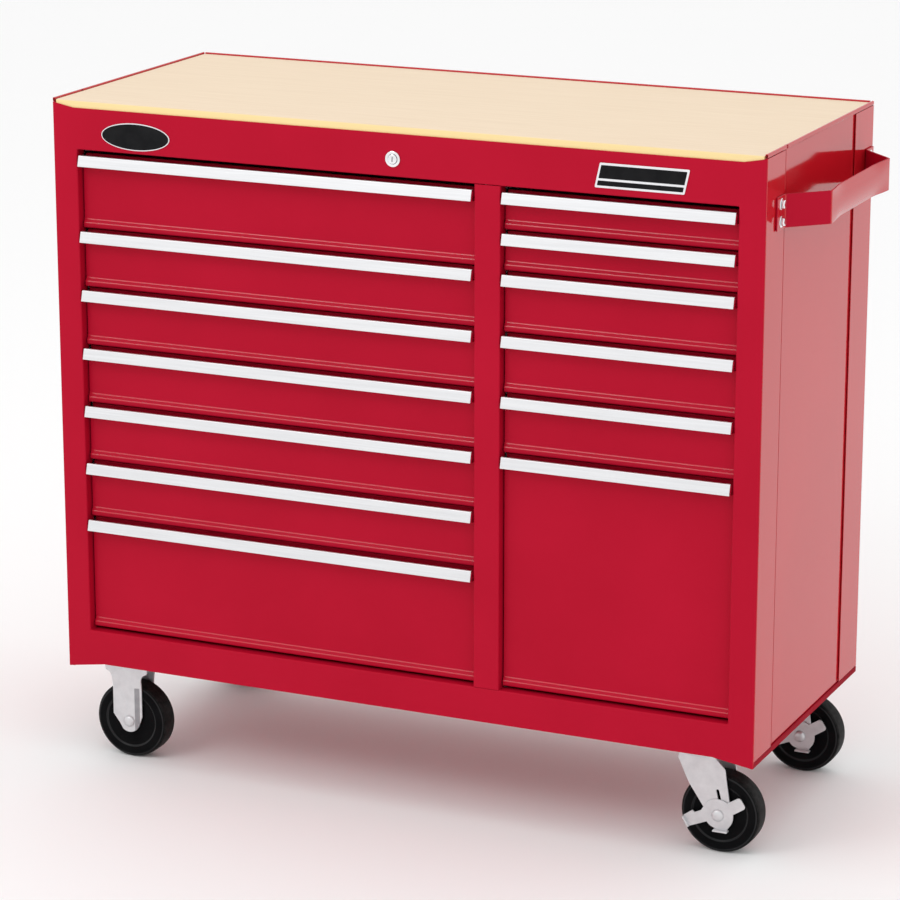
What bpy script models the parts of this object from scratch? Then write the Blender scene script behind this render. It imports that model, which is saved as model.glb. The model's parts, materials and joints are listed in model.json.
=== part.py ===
"""A rolling tool chest: a folded-sheet cabinet with two banks of drawers on casters.

Metres, +Z up. The front faces -Y, the side handle is at +X and the wheels stand on z = 0.
Inside this file x is measured from the middle of the cabinet and y from its front face;
one empty carries the whole chest to the middle of its own footprint.
"""
import math

import bmesh
import bpy
from mathutils import Matrix, Vector

MM = 0.001

# Cabinet
WIDTH = 1041 * MM
DEPTH = 440 * MM
CASTER_HEIGHT = 148 * MM            # floor to the cabinet's lower edge
FACE_HEIGHT = 804 * MM              # lower edge to the fascia's upper line
SHEET = 1.2 * MM
GAP = 0.3 * MM
RIM_RISE = 12 * MM                  # the side and back rims stand this far above the fascia
RIM_WIDTH = 3.6 * MM                # the sheet is folded back on itself
RIM_TURN = 3.2 * MM                 # how far the rim's inner edge is turned down
LAP_STEP = 1.5 * MM                 # how far the side panels lie inside the wrapped corners
FRONT_WRAP = 70 * MM
BACK_WRAP = 79 * MM
CORNER_DROP = 9 * MM
CORNER_DROP_RUN = 58 * MM
FASCIA_RISE = 6 * MM
FASCIA_RISE_RUN = 32 * MM
RETURN_DEPTH = 18 * MM              # flanges that turn back round the drawer opening
SIDE_FOOT = 12 * MM                 # flange that turns in under each side panel
PARTITION_HALF_WIDTH = 13 * MM      # box section behind the centre post
PARTITION_END_GAP = 10 * MM         # from its back edge to the back panel
PARTITION_TOP_DROP = 14 * MM
PAN_FLANGE = 25 * MM
TRAY_FLANGE = 14 * MM
TRAY_SIDE_GAP = 0.8 * MM

# Drawer openings, from the cabinet's left edge and down from the fascia's upper line
STILE = 37 * MM
POST_LEFT = 636 * MM
POST_WIDTH = 37.5 * MM
OPENING_TOP = 58 * MM
OPENING_BOTTOM = 755 * MM
FIRST_DRAWER = 66 * MM
DRAWER_GAP = 3.5 * MM
LEFT_PITCHES = [107 * MM] + [83.4 * MM] * 5 + [164.5 * MM]
RIGHT_PITCHES = [55 * MM] * 2 + [83 * MM] * 3 + [329.5 * MM]

# Drawers
FRONT_MARGIN = 2 * MM
PULL_MARGIN = 3 * MM
PANEL_RECESS = 13 * MM
PULL_HEIGHT = 15 * MM
PULL_REACH = 5.5 * MM               # the pull's lower edge stands this far in front of the cabinet
LEDGE_REACH = 3.6 * MM              # the ledge under the pull
LIP_HEIGHT = 12.5 * MM              # the bend along the drawer's lower edge
LIP_DROP = 5 * MM
LIP_REACH = 3 * MM
BOX_MARGIN = 8.5 * MM
BOX_FRONT = 20.5 * MM
BOX_BACK = 395 * MM
BOX_SHEET = 1 * MM
FUSE_STEP = 0.2 * MM                # keeps fused sheets from sharing a face
WALL_DROP = 10 * MM
RUNNER_HEIGHT = 26 * MM
RUNNER_DEPTH = 4.7 * MM
RUNNER_DROP = 32 * MM               # the runner's middle, below the drawer's upper edge
RUNNER_START = 26 * MM
RUNNER_END = 392 * MM

# Slide racks
CHANNEL_HEIGHT = 33 * MM
CHANNEL_START = 24 * MM
CHANNEL_END = 415 * MM
CHANNEL_INSET = 5.5 * MM            # the channel's lips reach this far past the opening's edge
CHANNEL_OUTSET = 3.2 * MM
POST_PLACES = [30 * MM, 392 * MM]
RACK_LEG = 20 * MM
RACK_FLANGE = 9 * MM                # stiffening flange on the legs of the outer racks
RACK_END_GAP = 2 * MM

# Worktop
BOARD_THICKNESS = 19 * MM
BOARD_REACH = 516 * MM
BOARD_RISE = 10 * MM
BOARD_CHAMFER = 2 * MM

# Handle
HANDLE_REACH = 50 * MM
HANDLE_SHEET = 2.4 * MM
HANDLE_LOW = 710 * MM
HANDLE_HIGH = 754 * MM
HANDLE_FRONT = 36 * MM              # where the handle's front foot starts, from the front face
HANDLE_BACK = 435 * MM
HANDLE_FOOT = 29 * MM
HANDLE_LEG_RUN = 47 * MM            # each slanting leg's length along the side

# Lock
LOCK_X = -2 * MM
LOCK_DROP = 34 * MM
PLUG_RADIUS = 6.5 * MM
LOCK_HOLE_RADIUS = 9.5 * MM
BARREL_RADIUS = 9.2 * MM
BARREL_DEPTH = 15 * MM
FLANGE_RADIUS = 11 * MM
FLANGE_RISE = 2 * MM
CAM_RADIUS = 12 * MM
CAM_PIN_RADIUS = 2 * MM
KEYWAY_HALF_WIDTH = 0.7 * MM
KEYWAY_HALF_HEIGHT = 3.6 * MM
CAM_PIN_OFFSET = 8 * MM             # also the lock bar's travel
LOCK_BAR_FRONT = 22 * MM
LOCK_BAR_SHEET = 3 * MM
LOCK_BAR_HALF_WIDTH = 6 * MM
LOCK_ARM_HALF_HEIGHT = 9 * MM
LOCK_SLOT_HALF_HEIGHT = 4.2 * MM

# Casters
WHEEL_RADIUS = 56 * MM
WHEEL_HALF_WIDTH = 16 * MM
AXLE_RADIUS = 6 * MM
AXLE_HEAD_RADIUS = 8.5 * MM
HUB_RADIUS = 15 * MM
HUB_RISE = 2 * MM
CASTER_FRONT = 50 * MM
CASTER_REAR = 390 * MM
RIGID_X = -440 * MM
KINGPIN_X = 431 * MM
TRAIL = 32 * MM
LEG_GAP = 3 * MM
LEG_SHEET = 2.5 * MM
PLATE_SHEET = 3 * MM
PLATE_HALF_LENGTH = 45 * MM
PLATE_HALF_WIDTH = 37 * MM
RACE_DEPTH = 4.5 * MM               # the ball race between a swivel caster's plate and its fork
CROWN_SHEET = 3 * MM
CROWN_RADIUS = 29 * MM
RACE_RADIUS = 26 * MM
KINGPIN_RADIUS = 5 * MM
KINGPIN_HEAD_RADIUS = 8 * MM
LEVER_SHEET = 2.2 * MM
LEVER_ARM = 42 * MM                 # from the axle to the end of the lever's upper arm
LEVER_ARM_HALF_WIDTH = 8.5 * MM
LEVER_ARM_CORNER = 4 * MM
LEVER_ARM_TILT = 33                 # degrees above level
TAB_REACH = 7 * MM                  # the lever's folded tab and pedal come this far forward
BORE_CUT = 40 * MM                  # longer than any caster is wide

HALF = WIDTH / 2
LOWER_EDGE = CASTER_HEIGHT
FASCIA = CASTER_HEIGHT + FACE_HEIGHT
RIM = FASCIA + RIM_RISE
WRAP_TOP = FASCIA + FASCIA_RISE
SKIRT = LOWER_EDGE - CORNER_DROP
SIDE_FACE = HALF - LAP_STEP
OPENING_HIGH = FASCIA - OPENING_TOP
OPENING_LOW = FASCIA - OPENING_BOTTOM
POST_X = (POST_LEFT - HALF, POST_LEFT + POST_WIDTH - HALF)
TURNS = {"y": Matrix.Rotation(-math.pi / 2, 4, "X"), "z": Matrix.Identity(4)}
BANKS = {
    "left": (STILE - HALF, POST_X[0], LEFT_PITCHES),
    "right": (POST_X[1], HALF - STILE, RIGHT_PITCHES),
}


def clear_scene():
    for thing in list(bpy.data.objects):
        bpy.data.objects.remove(thing, do_unlink=True)


def make_material(name, colour, roughness, metallic):
    material = bpy.data.materials.new(name)
    material.use_nodes = True
    shader = material.node_tree.nodes["Principled BSDF"]
    shader.inputs["Base Color"].default_value = (*colour, 1)
    shader.inputs["Roughness"].default_value = roughness
    shader.inputs["Metallic"].default_value = metallic
    material.diffuse_color = (*colour, 1)
    return material


def mesh_from(bm, name):
    bmesh.ops.recalc_face_normals(bm, faces=bm.faces)
    mesh = bpy.data.meshes.new(name)
    bm.to_mesh(mesh)
    bm.free()
    return mesh


def prism(outline, axis, low, high):
    """An outline pushed along an axis. The outline's two numbers are the other axes, in order."""
    spots = {"x": lambda a, b, c: (c, a, b), "y": lambda a, b, c: (a, c, b),
             "z": lambda a, b, c: (a, b, c)}
    bm = bmesh.new()
    face = bm.faces.new([bm.verts.new(spots[axis](a, b, low)) for a, b in outline])
    pushed = bmesh.ops.extrude_face_region(bm, geom=[face])
    away = Vector(spots[axis](0, 0, high - low))
    bmesh.ops.translate(bm, vec=away, verts=[v for v in pushed["geom"] if isinstance(v, bmesh.types.BMVert)])
    return mesh_from(bm, "prism")


def block(x, y, z):
    """A plain block between two limits on each axis."""
    bm = bmesh.new()
    size = Vector((x[1] - x[0], y[1] - y[0], z[1] - z[0]))
    middle = Vector((x[0] + x[1], y[0] + y[1], z[0] + z[1])) / 2
    bmesh.ops.create_cube(bm, size=1, matrix=Matrix.Translation(middle) @ Matrix.Diagonal((*size, 1)))
    return mesh_from(bm, "block")


def folded(path, thickness):
    """A sheet bent along a path, seen end on; its thickness lies to the left of the path."""
    count = len(path)
    points = [Vector(p) for p in path]
    normals = []
    for a, b in zip(points, points[1:]):
        run = (b - a).normalized()
        normals.append(Vector((-run.y, run.x)))
    inner = []
    for i, point in enumerate(points):
        before = normals[max(i - 1, 0)]
        after = normals[min(i, count - 2)]
        inner.append(point + (before + after) * thickness / (1 + before.dot(after)))
    return [tuple(p) for p in points] + [tuple(p) for p in reversed(inner)]


def turned(profile, centre, axis, steps):
    """A profile of (radius, distance along the axis) spun round that axis."""
    bm = bmesh.new()
    verts = [bm.verts.new((radius, 0, along)) for radius, along in profile]
    edges = [bm.edges.new(pair) for pair in zip(verts, verts[1:])]
    if profile[0][0] > 0:
        edges.append(bm.edges.new((verts[-1], verts[0])))
    bmesh.ops.spin(bm, geom=verts + edges, cent=(0, 0, 0), axis=(0, 0, 1), angle=2 * math.pi,
                   steps=steps, use_merge=True)
    bmesh.ops.remove_doubles(bm, verts=bm.verts, dist=1e-6)
    bmesh.ops.transform(bm, matrix=Matrix.Translation(centre) @ TURNS[axis], verts=bm.verts)
    return mesh_from(bm, "turned")


def rod(radius, centre, axis, low, high, steps=20):
    """A plain round bar along an axis, with flat ends."""
    bm = bmesh.new()
    middle = Matrix.Translation((0, 0, (low + high) / 2))
    bmesh.ops.create_cone(bm, cap_ends=True, segments=steps, radius1=radius, radius2=radius,
                          depth=high - low, matrix=Matrix.Translation(centre) @ TURNS[axis] @ middle)
    return mesh_from(bm, "rod")


def arc(centre, radius, start, end, steps):
    """Points on a round stretch of an outline, from one angle to another in degrees."""
    angles = [math.radians(start + (end - start) * i / steps) for i in range(steps + 1)]
    return [(centre[0] + radius * math.cos(a), centre[1] + radius * math.sin(a)) for a in angles]


def fuse(pieces, cuts=()):
    """Welds meshes into one solid and takes the cuts away."""
    base = bpy.data.objects.new("base", pieces[0])
    bpy.context.collection.objects.link(base)
    tools = [base]
    for mesh, operation in [(m, "UNION") for m in pieces[1:]] + [(m, "DIFFERENCE") for m in cuts]:
        tool = bpy.data.objects.new("tool", mesh)
        bpy.context.collection.objects.link(tool)
        tools.append(tool)
        modifier = base.modifiers.new(operation, "BOOLEAN")
        modifier.operation = operation
        modifier.object = tool
    result = bpy.data.meshes.new_from_object(base.evaluated_get(bpy.context.evaluated_depsgraph_get()))
    for tool in tools:
        bpy.data.objects.remove(tool, do_unlink=True)
    return result


def place(name, mesh, material, parent, origin=(0, 0, 0)):
    """Makes the named object, with its own origin, as a child of an empty."""
    origin = Vector(origin)
    mesh.transform(Matrix.Translation(-origin))
    mesh.materials.clear()
    mesh.materials.append(material)
    mesh.name = name
    thing = bpy.data.objects.new(name, mesh)
    bpy.context.collection.objects.link(thing)
    thing.parent = parent
    thing.location = origin - Vector(parent["place"])
    return thing


def make_empty(name, spot, parent=None):
    empty = bpy.data.objects.new(name, None)
    bpy.context.collection.objects.link(empty)
    empty["place"] = tuple(spot)
    empty.location = spot if parent is None else Vector(spot) - Vector(parent["place"])
    empty.parent = parent
    return empty


def make_front_frame(chest, paint):
    face = [(-HALF, SKIRT), (-HALF + CORNER_DROP_RUN, LOWER_EDGE), (HALF - CORNER_DROP_RUN, LOWER_EDGE),
            (HALF, SKIRT), (HALF, WRAP_TOP), (HALF - FASCIA_RISE_RUN, FASCIA),
            (-HALF + FASCIA_RISE_RUN, FASCIA), (-HALF, WRAP_TOP)]
    left, right = STILE - HALF, HALF - STILE
    pieces = [prism(face, "y", 0, SHEET)]
    for low, high in ((-HALF, -HALF + SHEET), (HALF - SHEET, HALF)):
        pieces.append(block((low, high), (0, FRONT_WRAP), (SKIRT, WRAP_TOP)))
    cuts = [block((left, right), (-SHEET, 2 * SHEET), (OPENING_LOW, OPENING_HIGH))]
    frame = fuse(pieces, cuts)
    inner = [block((left - SHEET, right + SHEET), (SHEET / 2, RETURN_DEPTH),
                   (OPENING_LOW - SHEET, OPENING_HIGH + SHEET))]
    tube = fuse(inner, [block((left, right), (-SHEET, RETURN_DEPTH + SHEET), (OPENING_LOW, OPENING_HIGH))])
    hole = rod(LOCK_HOLE_RADIUS, (LOCK_X, 0, FASCIA - LOCK_DROP), "y", -SHEET, 3 * SHEET, 24)
    place("front_frame", fuse([frame, tube], [hole]), paint, chest)


def make_side_panel(chest, paint, side, name):
    inner = HALF - RIM_WIDTH
    path = [(SIDE_FACE - SIDE_FOOT, SKIRT), (SIDE_FACE, SKIRT), (SIDE_FACE, WRAP_TOP + 2 * GAP),
            (HALF, WRAP_TOP + 2 * GAP), (HALF, RIM), (inner, RIM), (inner, RIM - RIM_TURN)]
    outline = [(side * x, z) for x, z in folded(path, SHEET)]
    place(name, prism(outline, "y", SHEET + GAP, DEPTH - SHEET - GAP), paint, chest)


def make_back_panel(chest, paint):
    rim_half = HALF - RIM_WIDTH - SHEET - 2 * GAP
    face = [(-HALF, SKIRT + GAP), (HALF, SKIRT + GAP), (HALF, WRAP_TOP), (rim_half, WRAP_TOP),
            (rim_half, RIM), (-rim_half, RIM), (-rim_half, WRAP_TOP), (-HALF, WRAP_TOP)]
    pieces = [prism(face, "y", DEPTH - SHEET, DEPTH)]
    for low, high in ((-HALF, -HALF + SHEET), (HALF - SHEET, HALF)):
        pieces.append(block((low, high), (DEPTH - BACK_WRAP, DEPTH), (SKIRT + GAP, WRAP_TOP)))
    lip = DEPTH - RIM_WIDTH
    pieces.append(block((-rim_half, rim_half), (lip, DEPTH), (RIM - SHEET, RIM)))
    pieces.append(block((-rim_half, rim_half), (lip, lip + SHEET), (RIM - RIM_TURN, RIM)))
    place("back_panel", fuse(pieces), paint, chest)


def make_centre(chest, paint, zinc):
    """The post between the banks and the box section behind it that carries the inner slides."""
    left, right = POST_X
    post = folded([(left, RETURN_DEPTH), (left, 0), (right, 0), (right, RETURN_DEPTH)], SHEET)
    place("centre_post", prism(post, "z", OPENING_LOW + GAP, OPENING_HIGH - GAP), paint, chest)
    middle = (left + right) / 2
    half_width = PARTITION_HALF_WIDTH
    wall_front = RETURN_DEPTH + 1 * MM
    wall_back = DEPTH - PARTITION_END_GAP
    walls = folded([(middle + half_width, wall_front), (middle + half_width, wall_back),
                    (middle - half_width, wall_back), (middle - half_width, wall_front)], SHEET)
    wall_top = FASCIA - PARTITION_TOP_DROP
    box = prism(walls, "z", LOWER_EDGE + 3 * MM, wall_top)
    window = block((middle - 2 * half_width, middle), (0, LOCK_BAR_FRONT + 12 * MM),
                   (OPENING_HIGH - 6 * MM, wall_top + SHEET))
    place("centre_partition", fuse([box], [window]), zinc, chest)


def make_top_and_pan(chest, paint, wood):
    board_low = FASCIA + BOARD_RISE - BOARD_THICKNESS
    reach = SIDE_FACE - SHEET - TRAY_SIDE_GAP
    tray_top = board_low - 0.5 * MM
    tray = folded([(reach, tray_top - TRAY_FLANGE), (reach, tray_top), (-reach, tray_top),
                   (-reach, tray_top - TRAY_FLANGE)], SHEET)
    place("top_tray", prism(tray, "y", 3 * MM, DEPTH - 3 * MM), paint, chest)
    board = block((-BOARD_REACH, BOARD_REACH), (SHEET + GAP, DEPTH - RIM_WIDTH - 0.6 * MM),
                  (board_low, board_low + BOARD_THICKNESS))
    top = place("worktop", board, wood, chest)
    bevel = top.modifiers.new("Edge", "BEVEL")
    bevel.width = BOARD_CHAMFER
    bevel.segments = 1
    pan = folded([(-reach, LOWER_EDGE + PAN_FLANGE), (-reach, LOWER_EDGE), (reach, LOWER_EDGE),
                  (reach, LOWER_EDGE + PAN_FLANGE)], SHEET)
    place("bottom_pan", prism(pan, "y", SHEET + 2 * GAP, DEPTH - SHEET - 2 * GAP), paint, chest)


def drawer_levels(pitches):
    """The upper and lower edge of each drawer in a bank, from the top one down."""
    levels = []
    top = FASCIA - FIRST_DRAWER
    for pitch in pitches:
        levels.append((top, top - pitch + DRAWER_GAP))
        top -= pitch
    return levels


def make_slide_rack(chest, zinc, name, edge, away, pitches):
    """Two upright legs and a channel for each drawer; away is +1 or -1, out of the opening."""
    leg = sorted((edge + away * (CHANNEL_OUTSET - SHEET / 2), edge + away * (CHANNEL_OUTSET + SHEET)))
    foot = sorted((edge + away * (CHANNEL_OUTSET + SHEET / 2), edge + away * (CHANNEL_OUTSET + RACK_FLANGE)))
    low, high = OPENING_LOW + RACK_END_GAP, OPENING_HIGH - RACK_END_GAP
    pieces = []
    for start in POST_PLACES:
        pieces.append(block(leg, (start, start + RACK_LEG), (low, high)))
        if abs(edge) > HALF / 2:
            pieces.append(block(foot, (start + 4 * MM, start + 4 * MM + SHEET), (low + 1 * MM, high - 1 * MM)))
    for top, _ in drawer_levels(pitches):
        middle = top - RUNNER_DROP
        half = CHANNEL_HEIGHT / 2
        lip, web = edge - away * CHANNEL_INSET, edge + away * CHANNEL_OUTSET
        channel = channel_section(web, lip, middle, half, SHEET)
        pieces.append(prism(channel, "y", CHANNEL_START, CHANNEL_END))
    place(name, fuse(pieces), zinc, chest)


def channel_section(web, lip, middle, half, sheet):
    """A C section seen end on: its web at one x, its two lips reaching to another."""
    side = 1 if web > lip else -1
    path = [(side * lip, middle - half), (side * web, middle - half), (side * web, middle + half),
            (side * lip, middle + half)]
    return [(side * x, z) for x, z in folded(path, sheet)]


def make_drawer(chest, paint, trim, bank, number, left, right, top, low):
    """One drawer: its folded box with the front, and the bright pull along its upper edge."""
    middle = (left + right) / 2
    half = (right - left) / 2
    front, box = half - FRONT_MARGIN, half - BOX_MARGIN
    floor = top - PULL_HEIGHT - 0.8 * MM
    lip = low + LIP_HEIGHT
    foot = PANEL_RECESS - LIP_REACH
    skin = folded([(-0.15 * MM, top - 2.3 * MM), (-LEDGE_REACH, floor), (PANEL_RECESS, floor),
                   (PANEL_RECESS, lip), (foot, lip - LIP_DROP), (foot, low), (BOX_FRONT + FUSE_STEP, low)],
                  BOX_SHEET)
    wide = (middle - front, middle + front)
    behind = (middle - front + FUSE_STEP, middle + front - FUSE_STEP)
    bridge = (middle - front + 2 * FUSE_STEP, middle + front - 2 * FUSE_STEP)
    box_low, box_top = low + BOX_SHEET / 2, top - WALL_DROP
    box_front = BOX_FRONT + BOX_SHEET / 2
    tub = fuse([block((middle - box, middle + box), (box_front, BOX_BACK), (box_low, box_top))],
               [block((middle - box + BOX_SHEET, middle + box - BOX_SHEET),
                      (box_front + BOX_SHEET, BOX_BACK - BOX_SHEET), (box_low + BOX_SHEET, top))])
    pieces = [
        tub,
        block(behind, (BOX_FRONT, BOX_FRONT + BOX_SHEET), (low + FUSE_STEP, top)),
        prism(skin, "x", *wide),
        block(bridge, (PANEL_RECESS + FUSE_STEP, BOX_FRONT + FUSE_STEP),
              (floor + FUSE_STEP, floor + BOX_SHEET - FUSE_STEP)),
    ]
    rail_middle = top - RUNNER_DROP
    for side in (-1, 1):
        web, lip = middle + side * (box - BOX_SHEET / 2), middle + side * (box + RUNNER_DEPTH)
        rail = channel_section(web, lip, rail_middle, RUNNER_HEIGHT / 2, BOX_SHEET)
        pieces.append(prism(rail, "y", RUNNER_START, RUNNER_END))
    place(f"{bank}_drawer_{number}_pan", fuse(pieces), paint, chest, (middle, 0, rail_middle))
    foot_z, back_z = top - PULL_HEIGHT, top - 1.9 * MM
    strip = [(-1.5 * MM, top), (-PULL_REACH, foot_z), (1.6 * MM - PULL_REACH, foot_z), (-0.4 * MM, back_z),
             (1.2 * MM, back_z), (1.2 * MM, top)]
    reach = half - PULL_MARGIN
    place(f"{bank}_drawer_{number}_pull", prism(strip, "x", middle - reach, middle + reach), trim, chest,
          (middle, 0, rail_middle))


def make_handle(chest, paint):
    face = HALF + GAP + HANDLE_SHEET
    outer = HALF + HANDLE_REACH
    front_bend, back_bend = HANDLE_FRONT + HANDLE_FOOT, HANDLE_BACK - HANDLE_FOOT
    path = [(face, HANDLE_FRONT), (face, front_bend), (outer, front_bend + HANDLE_LEG_RUN),
            (outer, back_bend - HANDLE_LEG_RUN), (face, back_bend), (face, HANDLE_BACK)]
    strap = prism(folded(path, HANDLE_SHEET), "z", LOWER_EDGE + HANDLE_LOW, LOWER_EDGE + HANDLE_HIGH)
    place("side_handle", strap, paint, chest)


def make_lock(chest, chrome, zinc):
    centre = (LOCK_X, 0, FASCIA - LOCK_DROP)
    inner = PLUG_RADIUS + GAP
    body = [(inner, -FLANGE_RISE), (FLANGE_RADIUS - 0.6 * MM, -FLANGE_RISE),
            (FLANGE_RADIUS, 0.8 * MM - FLANGE_RISE), (FLANGE_RADIUS, -GAP), (BARREL_RADIUS, -GAP),
            (BARREL_RADIUS, BARREL_DEPTH), (inner, BARREL_DEPTH)]
    place("lock_housing", turned(body, centre, "y", 24), chrome, chest)
    height = centre[2]
    cam_back = LOCK_BAR_FRONT - FLANGE_RISE
    plug = rod(PLUG_RADIUS, centre, "y", -3 * MM, cam_back - 2 * MM, 24)
    cam = rod(CAM_RADIUS, centre, "y", cam_back - 2.5 * MM, cam_back, 24)
    pin_centre = (LOCK_X + CAM_PIN_OFFSET, 0, height)
    pin = rod(CAM_PIN_RADIUS, pin_centre, "y", cam_back - 1 * MM, LOCK_BAR_FRONT + 5 * MM, 12)
    keyway = block((LOCK_X - KEYWAY_HALF_WIDTH, LOCK_X + KEYWAY_HALF_WIDTH), (-4 * MM, 1 * MM),
                   (height - KEYWAY_HALF_HEIGHT, height + KEYWAY_HALF_HEIGHT))
    place("lock_plug", fuse([plug, cam, pin], [keyway]), chrome, chest, centre)
    bar_x = sum(POST_X) / 2
    half = LOCK_BAR_HALF_WIDTH
    depth = (LOCK_BAR_FRONT, LOCK_BAR_FRONT + LOCK_BAR_SHEET)
    arm = block((LOCK_X - 14 * MM, bar_x + half), depth,
                (height - LOCK_ARM_HALF_HEIGHT, height + LOCK_ARM_HALF_HEIGHT))
    upright = block((bar_x - half, bar_x + half), depth, (LOWER_EDGE + 60 * MM, height))
    slot = block((LOCK_X - 5 * MM, LOCK_X + CAM_PIN_OFFSET + 3.5 * MM),
                 (LOCK_BAR_FRONT - 1 * MM, LOCK_BAR_FRONT + 2 * LOCK_BAR_SHEET),
                 (height - LOCK_SLOT_HALF_HEIGHT, height + LOCK_SLOT_HALF_HEIGHT))
    place("lock_bar", fuse([arm, upright], [slot]), zinc, chest, (bar_x, LOCK_BAR_FRONT, height))


def make_wheel(parent, rubber, name, x, y):
    """A solid wheel with a rounded tread, a short hub on each face and a plain bore."""
    half, rim = WHEEL_HALF_WIDTH, WHEEL_RADIUS
    hub_face = half + HUB_RISE
    side = [(AXLE_RADIUS + GAP, hub_face), (HUB_RADIUS, hub_face), (HUB_RADIUS + HUB_RISE, half),
            (rim - 5 * MM, half), (rim - 1.2 * MM, half - 4 * MM), (rim, half - 9 * MM)]
    profile = side + [(radius, -along) for radius, along in reversed(side)]
    place(name, turned(profile, (x, y, rim), "y", 32), rubber, parent, (x, y, rim))


def leg_outline_rigid(x):
    height = WHEEL_RADIUS
    top = LOWER_EDGE - GAP - PLATE_SHEET / 2
    end = arc((x, height), 16.5 * MM, 215, 335, 8)
    flare_left = arc((x - 39 * MM, height + 62 * MM), 12 * MM, 0, 80, 4)
    flare_right = arc((x + 32 * MM, height + 62 * MM), 12 * MM, 100, 180, 4)
    return (end + [(x + 20 * MM, height + 8 * MM)] + list(reversed(flare_right)) + [(x + 32 * MM, top)]
            + [(x - 39 * MM, top)] + list(reversed(flare_left)) + [(x - 27 * MM, height + 8 * MM)])


def leg_outline_swivel(x, pin_x, top):
    height = WHEEL_RADIUS
    end = arc((x, height), 17 * MM, 195, 345, 8)
    right = [(x + 17 * MM, height + 12 * MM), (x + 8 * MM, height + 66 * MM), (pin_x + 28 * MM, top - 6 * MM),
             (pin_x + 22 * MM, top)]
    left = [(pin_x - 24 * MM, top), (pin_x - 27 * MM, top - 10 * MM), (x - 43 * MM, height + 40 * MM),
            (x - 20 * MM, height + 6 * MM)]
    return end + right + left


def make_axle(parent, zinc, name, x, y, outer):
    """A riveted axle: a pin with a domed head at the front and a flat one at the back."""
    head = outer + GAP
    dome = [(AXLE_HEAD_RADIUS, -head), (7.6 * MM, -head - 2 * MM), (5 * MM, -head - 3.6 * MM),
            (0, -head - 4.2 * MM)]
    back = WHEEL_HALF_WIDTH + LEG_GAP + LEG_SHEET + GAP
    profile = list(reversed(dome)) + [(AXLE_RADIUS, -head), (AXLE_RADIUS, back), (AXLE_HEAD_RADIUS, back),
                                      (AXLE_HEAD_RADIUS, back + 2 * MM), (0, back + 2 * MM)]
    place(name, turned(profile, (x, y, WHEEL_RADIUS), "y", 20), zinc, parent, (x, y, WHEEL_RADIUS))


def legs(outline, y):
    """The two legs of a fork, one on each side of the wheel."""
    inner = WHEEL_HALF_WIDTH + LEG_GAP
    return [prism(outline, "y", y - inner - LEG_SHEET, y - inner),
            prism(outline, "y", y + inner, y + inner + LEG_SHEET)]


def make_rigid_caster(chest, zinc, rubber, place_name, y):
    x = RIGID_X
    plate_top = LOWER_EDGE - GAP
    plate = block((x - PLATE_HALF_LENGTH - 2 * MM, x + PLATE_HALF_LENGTH),
                  (y - PLATE_HALF_WIDTH, y + PLATE_HALF_WIDTH), (plate_top - PLATE_SHEET, plate_top))
    bore = rod(AXLE_RADIUS + GAP, (x, y, WHEEL_RADIUS), "y", -BORE_CUT, BORE_CUT, 20)
    fork = fuse([plate] + legs(leg_outline_rigid(x), y), [bore])
    place(f"{place_name}_rigid_fork", fork, zinc, chest)
    make_axle(chest, zinc, f"{place_name}_rigid_axle", x, y, WHEEL_HALF_WIDTH + LEG_GAP + LEG_SHEET)
    make_wheel(chest, rubber, f"{place_name}_rigid_wheel", x, y)


def brake_outline(x):
    """A cross-shaped lever: a pedal at lower left, a square-ended arm at upper right, a round body."""
    z = WHEEL_RADIUS
    body_low = arc((x, z), 19 * MM, 215, 262, 4)
    body_right = arc((x, z), 22 * MM, 318, 370, 5)
    tilt, corner = LEVER_ARM_TILT, LEVER_ARM_CORNER
    along = Vector((math.cos(math.radians(tilt)), math.sin(math.radians(tilt)))) * (LEVER_ARM - corner)
    across = Vector((-along.y, along.x)).normalized() * (LEVER_ARM_HALF_WIDTH - corner)
    middle = Vector((x, z)) + along
    arm_end = (arc(middle - across, corner, tilt - 90, tilt, 3)
               + arc(middle + across, corner, tilt, tilt + 90, 3))
    body_top = arc((x, z), 23 * MM, 55, 140, 6)
    return (body_low + [(x - 4 * MM, z - 19 * MM), (x + 15 * MM, z - 17 * MM)] + body_right + arm_end
            + body_top + [(x - 24 * MM, z + 4 * MM), (x - 49 * MM, z - 7 * MM), (x - 40 * MM, z - 21 * MM)])


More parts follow.
